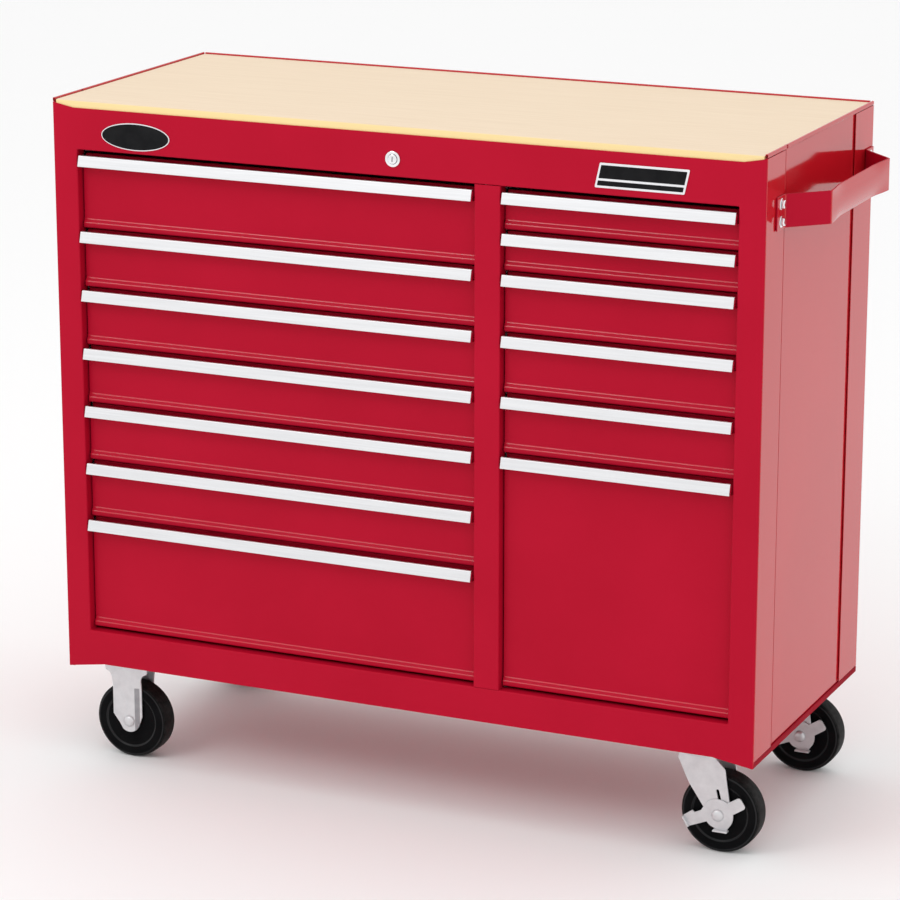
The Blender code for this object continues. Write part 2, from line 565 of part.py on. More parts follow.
def make_swivel_caster(chest, zinc, rubber, place_name, y):
    pin_x, x = KINGPIN_X, KINGPIN_X + TRAIL
    plate_top = LOWER_EDGE - GAP
    pin = (pin_x, y, 0)
    plate = block((pin_x - PLATE_HALF_LENGTH, pin_x + PLATE_HALF_LENGTH),
                  (y - PLATE_HALF_WIDTH, y + PLATE_HALF_WIDTH), (plate_top - PLATE_SHEET, plate_top))
    crown_top = plate_top - PLATE_SHEET - RACE_DEPTH
    crown_low = crown_top - CROWN_SHEET
    head_low, head_high = crown_low - 6 * MM, crown_low - 1 * MM
    stud = turned([(0, head_low), (KINGPIN_HEAD_RADIUS, head_low), (KINGPIN_HEAD_RADIUS, head_high),
                   (KINGPIN_RADIUS, head_high), (KINGPIN_RADIUS, crown_top + 1 * MM),
                   (RACE_RADIUS - 4 * MM, crown_top + 1 * MM), (RACE_RADIUS, crown_top + 3 * MM),
                   (RACE_RADIUS, plate_top - PLATE_SHEET / 2), (0, plate_top - PLATE_SHEET / 2)], pin, "z", 28)
    place(f"{place_name}_swivel_plate", fuse([plate, stud]), zinc, chest)

    swivel = make_empty(f"{place_name}_swivel", (pin_x, y, crown_low), chest)
    crown_bore = KINGPIN_RADIUS + 1 * MM
    crown = turned([(crown_bore, crown_low), (CROWN_RADIUS, crown_low), (CROWN_RADIUS, crown_top),
                    (crown_bore, crown_top)], pin, "z", 28)
    outline = leg_outline_swivel(x, pin_x, crown_top)
    slot = [(x + a, WHEEL_RADIUS + b) for a, b in
            arc((2.5 * MM, 18 * MM), 2.2 * MM, 190, 370, 5) + arc((-1.5 * MM, 34 * MM), 2.2 * MM, 10, 190, 5)]
    bore = rod(AXLE_RADIUS + GAP, (x, y, WHEEL_RADIUS), "y", -BORE_CUT, BORE_CUT, 20)
    across, inner = (pin_x - 22 * MM, pin_x + 22 * MM), WHEEL_HALF_WIDTH + LEG_GAP
    bridges = [block(across, (y + low, y + low + 2 * MM), (crown_low, crown_top))
               for low in (-inner - 2 * MM, inner)]
    slot_cut = prism(slot, "y", y - BORE_CUT, y + BORE_CUT)
    fork = fuse([crown] + bridges + legs(outline, y), [slot_cut, bore])
    place(f"{place_name}_swivel_fork", fork, zinc, swivel, (pin_x, y, crown_low))

    leg_face = WHEEL_HALF_WIDTH + LEG_GAP + LEG_SHEET
    lever_high = y - leg_face - GAP
    lever_low = lever_high - LEVER_SHEET
    lever = prism(brake_outline(x), "y", lever_low, lever_high)
    z = WHEEL_RADIUS
    pedal = [(x - 49.5 * MM, z - 7.5 * MM), (x - 47.6 * MM, z - 6.3 * MM), (x - 39 * MM, z - 20.4 * MM),
             (x - 41 * MM, z - 21.6 * MM)]
    tab = block((x - 5 * MM, x + 16 * MM), (lever_low - TAB_REACH, lever_high - 0.5 * MM),
                (z - 21.5 * MM, z - 19.3 * MM))
    web = block((x - 3 * MM, x + 14 * MM), (lever_low + FUSE_STEP, lever_high - FUSE_STEP),
                (z - 20 * MM, z - 12 * MM))
    pedal_face = prism(pedal, "y", lever_low - TAB_REACH + 1 * MM, lever_high - 0.5 * MM)
    hole = rod(AXLE_RADIUS + GAP, (x, y, WHEEL_RADIUS), "y", -BORE_CUT, BORE_CUT, 20)
    brake = fuse([lever, web, tab, pedal_face], [hole])
    place(f"{place_name}_brake_lever", brake, zinc, swivel, (x, y, WHEEL_RADIUS))
    make_axle(swivel, zinc, f"{place_name}_swivel_axle", x, y, leg_face + GAP + LEVER_SHEET)
    make_wheel(swivel, rubber, f"{place_name}_swivel_wheel", x, y)


def main():
    clear_scene()
    paint = make_material("red_paint", (0.48, 0.012, 0.03), 0.32, 0)
    bright = make_material("bright_trim", (0.8, 0.81, 0.83), 0.3, 0.9)
    zinc = make_material("zinc_plate", (0.55, 0.55, 0.57), 0.4, 0.8)
    chrome = make_material("chrome", (0.8, 0.8, 0.82), 0.12, 1)
    rubber = make_material("black_wheel", (0.012, 0.012, 0.013), 0.35, 0)
    wood = make_material("worktop_wood", (0.85, 0.66, 0.42), 0.5, 0)

    chest = make_empty("chest", (0, 0, 0))
    make_front_frame(chest, paint)
    make_side_panel(chest, paint, -1, "left_side_panel")
    make_side_panel(chest, paint, 1, "right_side_panel")
    make_back_panel(chest, paint)
    make_centre(chest, paint, zinc)
    make_top_and_pan(chest, paint, wood)
    make_handle(chest, paint)
    make_lock(chest, chrome, zinc)
    for bank, (left, right, pitches) in BANKS.items():
        make_slide_rack(chest, zinc, f"{bank}_bank_left_slides", left, -1, pitches)
        make_slide_rack(chest, zinc, f"{bank}_bank_right_slides", right, 1, pitches)
        for number, (top, low) in enumerate(drawer_levels(pitches), 1):
            make_drawer(chest, paint, bright, bank, number, left, right, top, low)
    for where, y in (("front", CASTER_FRONT), ("rear", CASTER_REAR)):
        make_rigid_caster(chest, zinc, rubber, where, y)
        make_swivel_caster(chest, zinc, rubber, where, y)
    chest.location = (-HANDLE_REACH / 2, -(DEPTH - PULL_REACH) / 2, 0)


main()
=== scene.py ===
import json
import math

import bpy
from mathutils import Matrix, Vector

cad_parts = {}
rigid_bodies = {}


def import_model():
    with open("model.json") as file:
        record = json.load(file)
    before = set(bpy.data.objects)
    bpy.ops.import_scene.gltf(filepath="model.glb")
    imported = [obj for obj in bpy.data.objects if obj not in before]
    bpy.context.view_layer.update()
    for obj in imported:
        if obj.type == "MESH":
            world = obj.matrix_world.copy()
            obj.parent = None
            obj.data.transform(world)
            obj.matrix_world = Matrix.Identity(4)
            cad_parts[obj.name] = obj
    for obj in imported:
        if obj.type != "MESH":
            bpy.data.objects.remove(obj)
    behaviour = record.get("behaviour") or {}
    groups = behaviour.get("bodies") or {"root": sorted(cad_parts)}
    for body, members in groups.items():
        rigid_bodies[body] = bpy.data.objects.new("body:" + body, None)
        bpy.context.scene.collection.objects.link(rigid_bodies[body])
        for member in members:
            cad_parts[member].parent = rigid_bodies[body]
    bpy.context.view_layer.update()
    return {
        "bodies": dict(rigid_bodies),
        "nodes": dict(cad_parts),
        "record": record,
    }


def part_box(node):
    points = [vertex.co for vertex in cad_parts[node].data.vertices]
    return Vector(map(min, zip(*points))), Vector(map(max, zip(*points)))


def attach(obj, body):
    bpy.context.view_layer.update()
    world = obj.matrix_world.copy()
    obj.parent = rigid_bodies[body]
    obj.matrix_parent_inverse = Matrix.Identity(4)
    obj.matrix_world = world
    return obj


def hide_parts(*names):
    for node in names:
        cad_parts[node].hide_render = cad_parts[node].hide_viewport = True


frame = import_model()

mm = 0.001
print("tool chest: frame loaded,", len(frame["nodes"]), "nodes")

# the cabinet's main planes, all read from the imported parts
faceLow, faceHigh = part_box("front_frame")
leftX, rightX, frontY = faceLow.x, faceHigh.x, faceLow.y
middleX = (leftX + rightX) / 2
skirtZ, wrapTopZ = faceLow.z, faceHigh.z
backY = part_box("back_panel")[1].y
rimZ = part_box("left_side_panel")[1].z
postLow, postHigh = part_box("centre_post")
boardLow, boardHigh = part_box("worktop")
gap = 0.3 * mm

cabinet = {
    "sheet": 1.2 * mm,
    "cornerDrop": 9 * mm,
    "cornerRun": 58 * mm,
    "fasciaRise": 6 * mm,
    "riseRun": 32 * mm,
    "stile": 37 * mm,
    "returnDepth": 18 * mm,
    "frontWrap": 70 * mm,
    "backWrap": 79 * mm,
    "rimWidth": 3.6 * mm,
    "rimTurn": 3.2 * mm,
    "rimRadius": 1.5 * mm,
    "cornerFold": 2.2 * mm,
    "openingFold": 1.3 * mm,
    "sideRecess": 2.3 * mm,
    "sideSheet": 0.9 * mm,
    "seamOffset": 4.5 * mm,
    "seamWidth": 4.5 * mm,
    "seamDepth": 0.8 * mm,
    "bandTurn": 9 * mm,
    "bandLip": 3 * mm,
    "bandRadius": 1.2 * mm,
    "hem": 0.25 * mm,
}
fasciaZ = wrapTopZ - cabinet["fasciaRise"]
lowerEdgeZ = skirtZ + cabinet["cornerDrop"]
openingLowZ, openingHighZ = postLow.z - gap, postHigh.z + gap


# helpers that select, cut and finish a piece
def deselectAll():
    if bpy.context.mode != "OBJECT":
        bpy.ops.object.mode_set(mode="OBJECT")
    bpy.ops.object.select_all(action="DESELECT")


def makeActive(piece):
    deselectAll()
    piece.select_set(True)
    bpy.context.view_layer.objects.active = piece


def editAll(piece):
    makeActive(piece)
    bpy.ops.object.mode_set(mode="EDIT")
    bpy.ops.mesh.select_all(action="SELECT")


def editFaces(piece, test):
    # edit mode with just the faces that pass the test selected
    editAll(piece)
    bpy.ops.mesh.select_mode(type="FACE")
    bpy.ops.mesh.select_all(action="DESELECT")
    bpy.ops.object.mode_set(mode="OBJECT")
    for face in piece.data.polygons:
        face.select = test(face)
    bpy.ops.object.mode_set(mode="EDIT")


def editEdges(piece, test):
    # edit mode with just the edges whose two ends pass the test
    editAll(piece)
    bpy.ops.mesh.select_mode(type="EDGE")
    bpy.ops.mesh.select_all(action="DESELECT")
    bpy.ops.object.mode_set(mode="OBJECT")
    for edge in piece.data.edges:
        edge.select = all(test(piece.data.vertices[i].co) for i in edge.vertices)
    bpy.ops.object.mode_set(mode="EDIT")


def backToObject():
    bpy.ops.object.mode_set(mode="OBJECT")


def near(a, b, reach=0.02 * mm):
    return abs(a - b) < reach


def smoothStep(value, start, end):
    t = max(0, min(1, (value - start) / (end - start)))
    return t * t * (3 - 2 * t)


def cutAcross(piece, axis, places):
    # slices the whole mesh at several places along one axis
    for spot in places:
        editAll(piece)
        bpy.ops.mesh.bisect(plane_co=[spot * (i == axis) for i in range(3)],
                            plane_no=[float(i == axis) for i in range(3)])
        backToObject()


def useModifier(piece, kind, **settings):
    makeActive(piece)
    modifier = piece.modifiers.new(kind.title(), kind)
    for key, value in settings.items():
        setattr(modifier, key, value)
    bpy.ops.object.modifier_apply(modifier=modifier.name)
    return piece


def softenEdges(piece, width=0.3 * mm, segments=2, angle=40, clamp=False):
    return useModifier(piece, "BEVEL", width=width, segments=segments, limit_method="ANGLE",
                       angle_limit=math.radians(angle), use_clamp_overlap=clamp)


def cutWith(piece, cutter):
    useModifier(piece, "BOOLEAN", operation="DIFFERENCE", object=cutter)
    bpy.data.objects.remove(cutter, do_unlink=True)
    return piece


def joinAll(pieces):
    deselectAll()
    for piece in pieces:
        piece.select_set(True)
    bpy.context.view_layer.objects.active = pieces[0]
    if len(pieces) > 1:
        bpy.ops.object.join()
    return pieces[0]


def along(axis, a, b, c):
    # an outline's two numbers go on the other two axes, in order
    return Vector({"x": (c, a, b), "y": (a, c, b), "z": (a, b, c)}[axis])


def drawChain(points, closed):
    # one vertex, extruded from point to point
    deselectAll()
    bpy.ops.mesh.primitive_plane_add(size=mm, location=points[0])
    piece = bpy.context.object
    bpy.ops.object.transform_apply(location=True, rotation=True, scale=True)
    bpy.ops.object.mode_set(mode="EDIT")
    bpy.ops.mesh.select_mode(type="VERT")
    bpy.ops.mesh.select_all(action="SELECT")
    bpy.ops.mesh.merge(type="CENTER")
    for before, after in zip(points, points[1:]):
        bpy.ops.mesh.extrude_vertices_move(TRANSFORM_OT_translate={"value": after - before})
    if closed:
        bpy.ops.mesh.select_all(action="SELECT")
        bpy.ops.mesh.edge_face_add()
    backToObject()
    return piece


def pushOut(piece, step):
    editAll(piece)
    bpy.ops.mesh.extrude_region_move(TRANSFORM_OT_translate={"value": step})
    bpy.ops.mesh.select_all(action="SELECT")
    bpy.ops.mesh.normals_make_consistent(inside=False)
    backToObject()
    return piece


def plate(outline, axis, low, high):
    # a flat outline given its thickness along an axis
    piece = drawChain([along(axis, a, b, low) for a, b in outline], True)
    return pushOut(piece, along(axis, 0, 0, high - low))


def turnedPiece(profile, centre, axis, steps=64, closed=True):
    # a profile of (radius, distance along the axis), spun round that axis
    centre = Vector(centre)
    aside = Vector((0, 0, 1)) if axis == "x" else Vector((1, 0, 0))
    ahead = along(axis, 0, 0, 1)
    points = [centre + aside * r + ahead * d for r, d in profile]
    if closed:
        points.append(points[0].copy())
    piece = drawChain(points, False)
    editAll(piece)
    bpy.ops.mesh.spin(steps=steps, angle=2 * math.pi, center=centre, axis=ahead)
    bpy.ops.mesh.select_all(action="SELECT")
    bpy.ops.mesh.remove_doubles(threshold=0.004 * mm)
    bpy.ops.mesh.normals_make_consistent(inside=False)
    backToObject()
    return piece


def arc(centre, radius, start, end, steps):
    angles = [math.radians(start + (end - start) * i / steps) for i in range(steps + 1)]
    return [(centre[0] + radius * math.cos(a), centre[1] + radius * math.sin(a)) for a in angles]


def roundedPath(points, radius, steps=4, closed=False):
    # swaps each corner of a path for a short curve
    spots = [Vector(p) for p in points]
    if closed:
        corners = list(zip(spots[-1:] + spots[:-1], spots, spots[1:] + spots[:1]))
        result = []
    else:
        corners = list(zip(spots, spots[1:], spots[2:]))
        result = [spots[0]]
    for before, corner, after in corners:
        into, out = (before - corner), (after - corner)
        bend = math.pi - into.angle(out)
        reach = min(0.45 * into.length, 0.45 * out.length, radius * math.tan(bend / 2))
        start, end = corner + into.normalized() * reach, corner + out.normalized() * reach
        for i in range(steps + 1):
            t = i / steps
            result.append(start * (1 - t) ** 2 + corner * 2 * t * (1 - t) + end * t ** 2)
    return result if closed else result + [spots[-1]]


def sheetOutline(path, thickness):
    # a bent sheet seen end on; its thickness lies to the left of the path
    points = [Vector(p) for p in path]
    sides = [Vector((a.y - b.y, b.x - a.x)).normalized() for a, b in zip(points, points[1:])]
    inner = []
    for i, point in enumerate(points):
        before, after = sides[max(i - 1, 0)], sides[min(i, len(sides) - 1)]
        inner.append(point + (before + after) * thickness / (1 + before.dot(after)))
    return [tuple(p) for p in points] + [tuple(p) for p in reversed(inner)]


def foldedSheet(path, axis, low, high, thickness, radius, steps=3):
    rounded = roundedPath(path, radius, steps)
    return plate(sheetOutline(rounded, thickness), axis, low, high)


def slab(low, high, soften=0.4 * mm, segments=2):
    # a cube at its size and place, with its edges eased
    deselectAll()
    low, high = Vector(low), Vector(high)
    bpy.ops.mesh.primitive_cube_add(size=1, location=(low + high) / 2, scale=high - low)
    bpy.ops.object.transform_apply(location=True, rotation=True, scale=True)
    return softenEdges(bpy.context.object, soften, segments)


def mirrored(piece, x):
    # a copy on the other side of the plane at x
    makeActive(piece)
    bpy.ops.object.duplicate()
    copy = bpy.context.object
    editAll(copy)
    bpy.ops.transform.mirror(constraint_axis=(True, False, False), center_override=(x, 0, 0))
    bpy.ops.mesh.flip_normals()
    backToObject()
    return copy


def finishPiece(piece, name, body, material, replaced=(), smooth=32):
    makeActive(piece)
    bpy.ops.object.shade_smooth_by_angle(angle=math.radians(smooth))
    useModifier(piece, "WEIGHTED_NORMAL", keep_sharp=True)
    piece.name = piece.data.name = name
    if material:
        piece.data.materials.clear()
        piece.data.materials.append(material)
    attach(piece, body)
    if replaced:
        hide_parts(*replaced)
    return piece


# finishes, with one grain group that they share
def addNode(tree, kind, **values):
    node = tree.nodes.new(kind)
    for key, value in values.items():
        if key in node.inputs:
            node.inputs[key].default_value = value
        else:
            setattr(node, key, value)
    return node


def makeSurfaceGrain():
    # cloudy tone, uneven gloss and a fine bump, all from the piece's own coordinates
    group = bpy.data.node_groups.new("surfaceGrain", "ShaderNodeTree")
    for label, kind, value in (
            ("Stretch", "NodeSocketVector", (1, 1, 1)),
            ("Light Tone", "NodeSocketColor", (0.8, 0.8, 0.8, 1)),
            ("Dark Tone", "NodeSocketColor", (0.6, 0.6, 0.6, 1)), ("Tone Scale", "NodeSocketFloat", 12),
            ("Grain Scale", "NodeSocketFloat", 600), ("Gloss", "NodeSocketFloat", 0.3),
            ("Gloss Spread", "NodeSocketFloat", 0.08), ("Bump", "NodeSocketFloat", 0.05)):
        group.interface.new_socket(name=label, in_out="INPUT", socket_type=kind).default_value = value
    for label, kind in (("Color", "NodeSocketColor"), ("Roughness", "NodeSocketFloat"),
                        ("Normal", "NodeSocketVector")):
        group.interface.new_socket(name=label, in_out="OUTPUT", socket_type=kind)
    given, result = group.nodes.new("NodeGroupInput"), group.nodes.new("NodeGroupOutput")
    link = group.links.new
    place = group.nodes.new("ShaderNodeTexCoord")
    stretch = addNode(group, "ShaderNodeVectorMath", operation="MULTIPLY")
    link(place.outputs["Object"], stretch.inputs[0])
    link(given.outputs["Stretch"], stretch.inputs[1])
    cloud = addNode(group, "ShaderNodeTexNoise", Detail=3.0, Roughness=0.55)
    grain = addNode(group, "ShaderNodeTexNoise", Detail=2.0, Roughness=0.5)
    for texture, scale in ((cloud, "Tone Scale"), (grain, "Grain Scale")):
        link(stretch.outputs[0], texture.inputs["Vector"])
        link(given.outputs[scale], texture.inputs["Scale"])
    tone = addNode(group, "ShaderNodeMapRange")
    tone.inputs["From Min"].default_value = 0.3
    tone.inputs["From Max"].default_value = 0.7
    link(cloud.outputs["Fac"], tone.inputs["Value"])
    mix = addNode(group, "ShaderNodeMix", data_type="RGBA")
    link(tone.outputs[0], mix.inputs["Factor"])
    link(given.outputs["Dark Tone"], mix.inputs[6])
    link(given.outputs["Light Tone"], mix.inputs[7])
    link(mix.outputs[2], result.inputs["Color"])
    centred = addNode(group, "ShaderNodeMath", operation="SUBTRACT")
    centred.inputs[1].default_value = 0.5
    spread = addNode(group, "ShaderNodeMath", operation="MULTIPLY_ADD")
    link(grain.outputs["Fac"], centred.inputs[0])
    link(centred.outputs[0], spread.inputs[0])
    link(given.outputs["Gloss Spread"], spread.inputs[1])
    link(given.outputs["Gloss"], spread.inputs[2])
    link(spread.outputs[0], result.inputs["Roughness"])
    bump = addNode(group, "ShaderNodeBump", Distance=0.4 * mm)
    link(grain.outputs["Fac"], bump.inputs["Height"])
    link(given.outputs["Bump"], bump.inputs["Strength"])
    link(bump.outputs["Normal"], result.inputs["Normal"])
    return group


surfaceGrain = makeSurfaceGrain()


def makeFinish(name, grain, metallic=0.0, specular=0.5, coat=0.0, coatRoughness=0.08):
    material = bpy.data.materials.new(name)
    material.use_nodes = True
    tree = material.node_tree
    shader = tree.nodes["Principled BSDF"]
    shader.inputs["Metallic"].default_value = metallic
    shader.inputs["Specular IOR Level"].default_value = specular
    shader.inputs["Coat Weight"].default_value = coat
    shader.inputs["Coat Roughness"].default_value = coatRoughness
    if grain:
        texture = tree.nodes.new("ShaderNodeGroup")
        texture.node_tree = surfaceGrain
        for label, value in grain.items():
            texture.inputs[label].default_value = value
        tree.links.new(texture.outputs["Color"], shader.inputs["Base Color"])
        tree.links.new(texture.outputs["Roughness"], shader.inputs["Roughness"])
        tree.links.new(texture.outputs["Normal"], shader.inputs["Normal"])
    return material


def tone(r, g, b):
    return (r, g, b, 1)


redFront = makeFinish("redEnamelFront", {
    "Light Tone": tone(0.475, 0.005, 0.027), "Dark Tone": tone(0.435, 0.004, 0.023), "Tone Scale": 5.0,
    "Grain Scale": 900.0, "Gloss": 0.34, "Gloss Spread": 0.08, "Bump": 0.05}, specular=0.07)
# painted sheen: a lighter, glossier copy of the front's red, given to the faces that look to the sides and
# back
redSideSheen = makeFinish("redEnamelSideSheen", {
    "Light Tone": tone(0.53, 0.010, 0.018), "Dark Tone": tone(0.49, 0.008, 0.015), "Tone Scale": 4.0,
    "Grain Scale": 900.0, "Gloss": 0.09, "Gloss Spread": 0.03, "Bump": 0.01}, specular=0.4, coat=0.12,
    coatRoughness=0.05)
# painted highlight: a lighter, glossier copy of the red for the bends of the drawer lips
redBendHighlight = makeFinish("redEnamelBendHighlight", {
    "Light Tone": tone(0.55, 0.012, 0.03), "Dark Tone": tone(0.51, 0.009, 0.026), "Tone Scale": 4.0,
    "Grain Scale": 900.0, "Gloss": 0.16, "Gloss Spread": 0.05, "Bump": 0.03}, specular=0.5, coat=0.6,
    coatRoughness=0.08)
# painted shade: a darker copy of the red for the drawer boxes and the frame's other red parts
redInsideShade = makeFinish("redEnamelInsideShade", {
    "Light Tone": tone(0.42, 0.008, 0.022), "Dark Tone": tone(0.36, 0.006, 0.018), "Tone Scale": 7.0,
    "Grain Scale": 700.0, "Gloss": 0.45, "Gloss Spread": 0.1, "Bump": 0.06}, specular=0.2)
# painted shade: a darker copy of the red for the bands under the sides and the pressed seam lines
redSkirtShade = makeFinish("redEnamelSkirtShade", {
    "Light Tone": tone(0.33, 0.006, 0.018), "Dark Tone": tone(0.27, 0.004, 0.014), "Tone Scale": 9.0,
    "Grain Scale": 700.0, "Gloss": 0.5, "Gloss Spread": 0.1, "Bump": 0.06}, specular=0.02)
brightTrim = makeFinish("brightTrim", {
    "Stretch": (1, 40, 40), "Light Tone": tone(0.79, 0.795, 0.81), "Dark Tone": tone(0.71, 0.715, 0.73),
    "Tone Scale": 9.0, "Grain Scale": 40.0, "Gloss": 0.34, "Gloss Spread": 0.14, "Bump": 0.02}, metallic=0.6)
zincPlate = makeFinish("zincPlate", {
    "Light Tone": tone(0.70, 0.695, 0.71), "Dark Tone": tone(0.61, 0.605, 0.62), "Tone Scale": 70.0,
    "Grain Scale": 500.0, "Gloss": 0.4, "Gloss Spread": 0.2, "Bump": 0.03}, metallic=0.75)
# painted shade: a darker copy of the zinc for the slopes of the fork ribs that face +X
zincPaintedShade = makeFinish("zincPaintedShade", {
    "Light Tone": tone(0.36, 0.355, 0.37), "Dark Tone": tone(0.28, 0.275, 0.29), "Tone Scale": 70.0,
    "Grain Scale": 500.0, "Gloss": 0.4, "Gloss Spread": 0.2, "Bump": 0.03}, metallic=0.75)
polishedSteel = makeFinish("polishedSteel", {
    "Light Tone": tone(0.9, 0.9, 0.92), "Dark Tone": tone(0.82, 0.82, 0.84), "Tone Scale": 60.0,
    "Grain Scale": 800.0, "Gloss": 0.14, "Gloss Spread": 0.08, "Bump": 0.01}, metallic=1.0)
wheelBlack = makeFinish("wheelBlack", {
    "Light Tone": tone(0.006, 0.006, 0.0065), "Dark Tone": tone(0.003, 0.003, 0.0035), "Tone Scale": 30.0,
    "Grain Scale": 600.0, "Gloss": 0.24, "Gloss Spread": 0.1, "Bump": 0.03}, specular=0.03)
# painted highlight: a lighter, glossier copy of the wheel black for its rings
wheelRingHighlight = makeFinish("wheelRingHighlight", {
    "Light Tone": tone(0.02, 0.02, 0.021), "Dark Tone": tone(0.012, 0.012, 0.013), "Tone Scale": 30.0,
    "Grain Scale": 600.0, "Gloss": 0.16, "Gloss Spread": 0.06, "Bump": 0.02}, specular=0.13)
wheelTread = makeFinish("wheelTread", {
    "Light Tone": tone(0.02, 0.019, 0.019), "Dark Tone": tone(0.003, 0.003, 0.003), "Tone Scale": 160.0,
    "Grain Scale": 1100.0, "Gloss": 0.5, "Gloss Spread": 0.16, "Bump": 0.3}, specular=0.06)
badgeBlack = makeFinish("badgeBlack", {
    "Light Tone": tone(0.014, 0.014, 0.015), "Dark Tone": tone(0.008, 0.008, 0.009), "Tone Scale": 50.0,
    "Grain Scale": 900.0, "Gloss": 0.3, "Gloss Spread": 0.06, "Bump": 0.02}, specular=0.05)
badgeSilver = makeFinish("badgeSilver", {
    "Light Tone": tone(0.85, 0.85, 0.87), "Dark Tone": tone(0.78, 0.78, 0.81), "Tone Scale": 80.0,
    "Grain Scale": 900.0, "Gloss": 0.3, "Gloss Spread": 0.06, "Bump": 0.02}, metallic=0.4)


def makeWood():
    material = makeFinish("sealedBoard", None, specular=0.25)
    tree = material.node_tree
    link = tree.links.new
    shader = tree.nodes["Principled BSDF"]
    place = tree.nodes.new("ShaderNodeTexCoord")
    stretch = tree.nodes.new("ShaderNodeMapping")
    stretch.inputs["Scale"].default_value = (1.2, 26, 26)
    link(place.outputs["Object"], stretch.inputs["Vector"])
    grain = addNode(tree, "ShaderNodeTexNoise", Scale=6.0, Detail=6.0, Roughness=0.6, Distortion=0.5)
    pores = addNode(tree, "ShaderNodeTexNoise", Scale=40.0, Detail=3.0, Roughness=0.6)
    link(stretch.outputs[0], grain.inputs["Vector"])
    link(stretch.outputs[0], pores.inputs["Vector"])
    ramp = tree.nodes.new("ShaderNodeValToRGB")
    ramp.color_ramp.elements[0].position = 0.25
    ramp.color_ramp.elements[0].color = tone(0.76, 0.60, 0.43)
    ramp.color_ramp.elements[1].position = 0.75
    ramp.color_ramp.elements[1].color = tone(0.82, 0.665, 0.49)
    link(grain.outputs["Fac"], ramp.inputs["Fac"])
    split = tree.nodes.new("ShaderNodeSeparateXYZ")
    link(place.outputs["Object"], split.inputs[0])
    edge = tree.nodes.new("ShaderNodeMapRange")  # the sawn edges, just under the top face, are yellower
    edge.inputs["From Min"].default_value = boardHigh.z - 1.4 * mm
    edge.inputs["From Max"].default_value = boardHigh.z - 0.3 * mm
    link(split.outputs["Z"], edge.inputs["Value"])
    mix = addNode(tree, "ShaderNodeMix", data_type="RGBA")
    mix.inputs[6].default_value = tone(0.90, 0.70, 0.34)
    link(edge.outputs[0], mix.inputs["Factor"])
    link(ramp.outputs["Color"], mix.inputs[7])
    link(mix.outputs[2], shader.inputs["Base Color"])
    gloss = tree.nodes.new("ShaderNodeMapRange")
    gloss.inputs["To Min"].default_value = 0.42
    gloss.inputs["To Max"].default_value = 0.6
    link(pores.outputs["Fac"], gloss.inputs["Value"])
    link(gloss.outputs[0], shader.inputs["Roughness"])
    bump = addNode(tree, "ShaderNodeBump", Strength=0.1, Distance=0.3 * mm)
    link(pores.outputs["Fac"], bump.inputs["Height"])
    link(bump.outputs["Normal"], shader.inputs["Normal"])
    return material


boardWood = makeWood()
# the frame's red parts take the darker copy of the red: painted shade
slotFinish = {"red_paint": redInsideShade, "bright_trim": brightTrim, "zinc_plate": zincPlate,
              "chrome": polishedSteel, "black_wheel": wheelBlack, "wood": boardWood}
for part in frame["record"]["subparts"]:
    node = frame["nodes"][part["node"]]
    node.data.materials.clear()
    node.data.materials.append(slotFinish[part["material_slot"]])
print("tool chest: finishes ready")


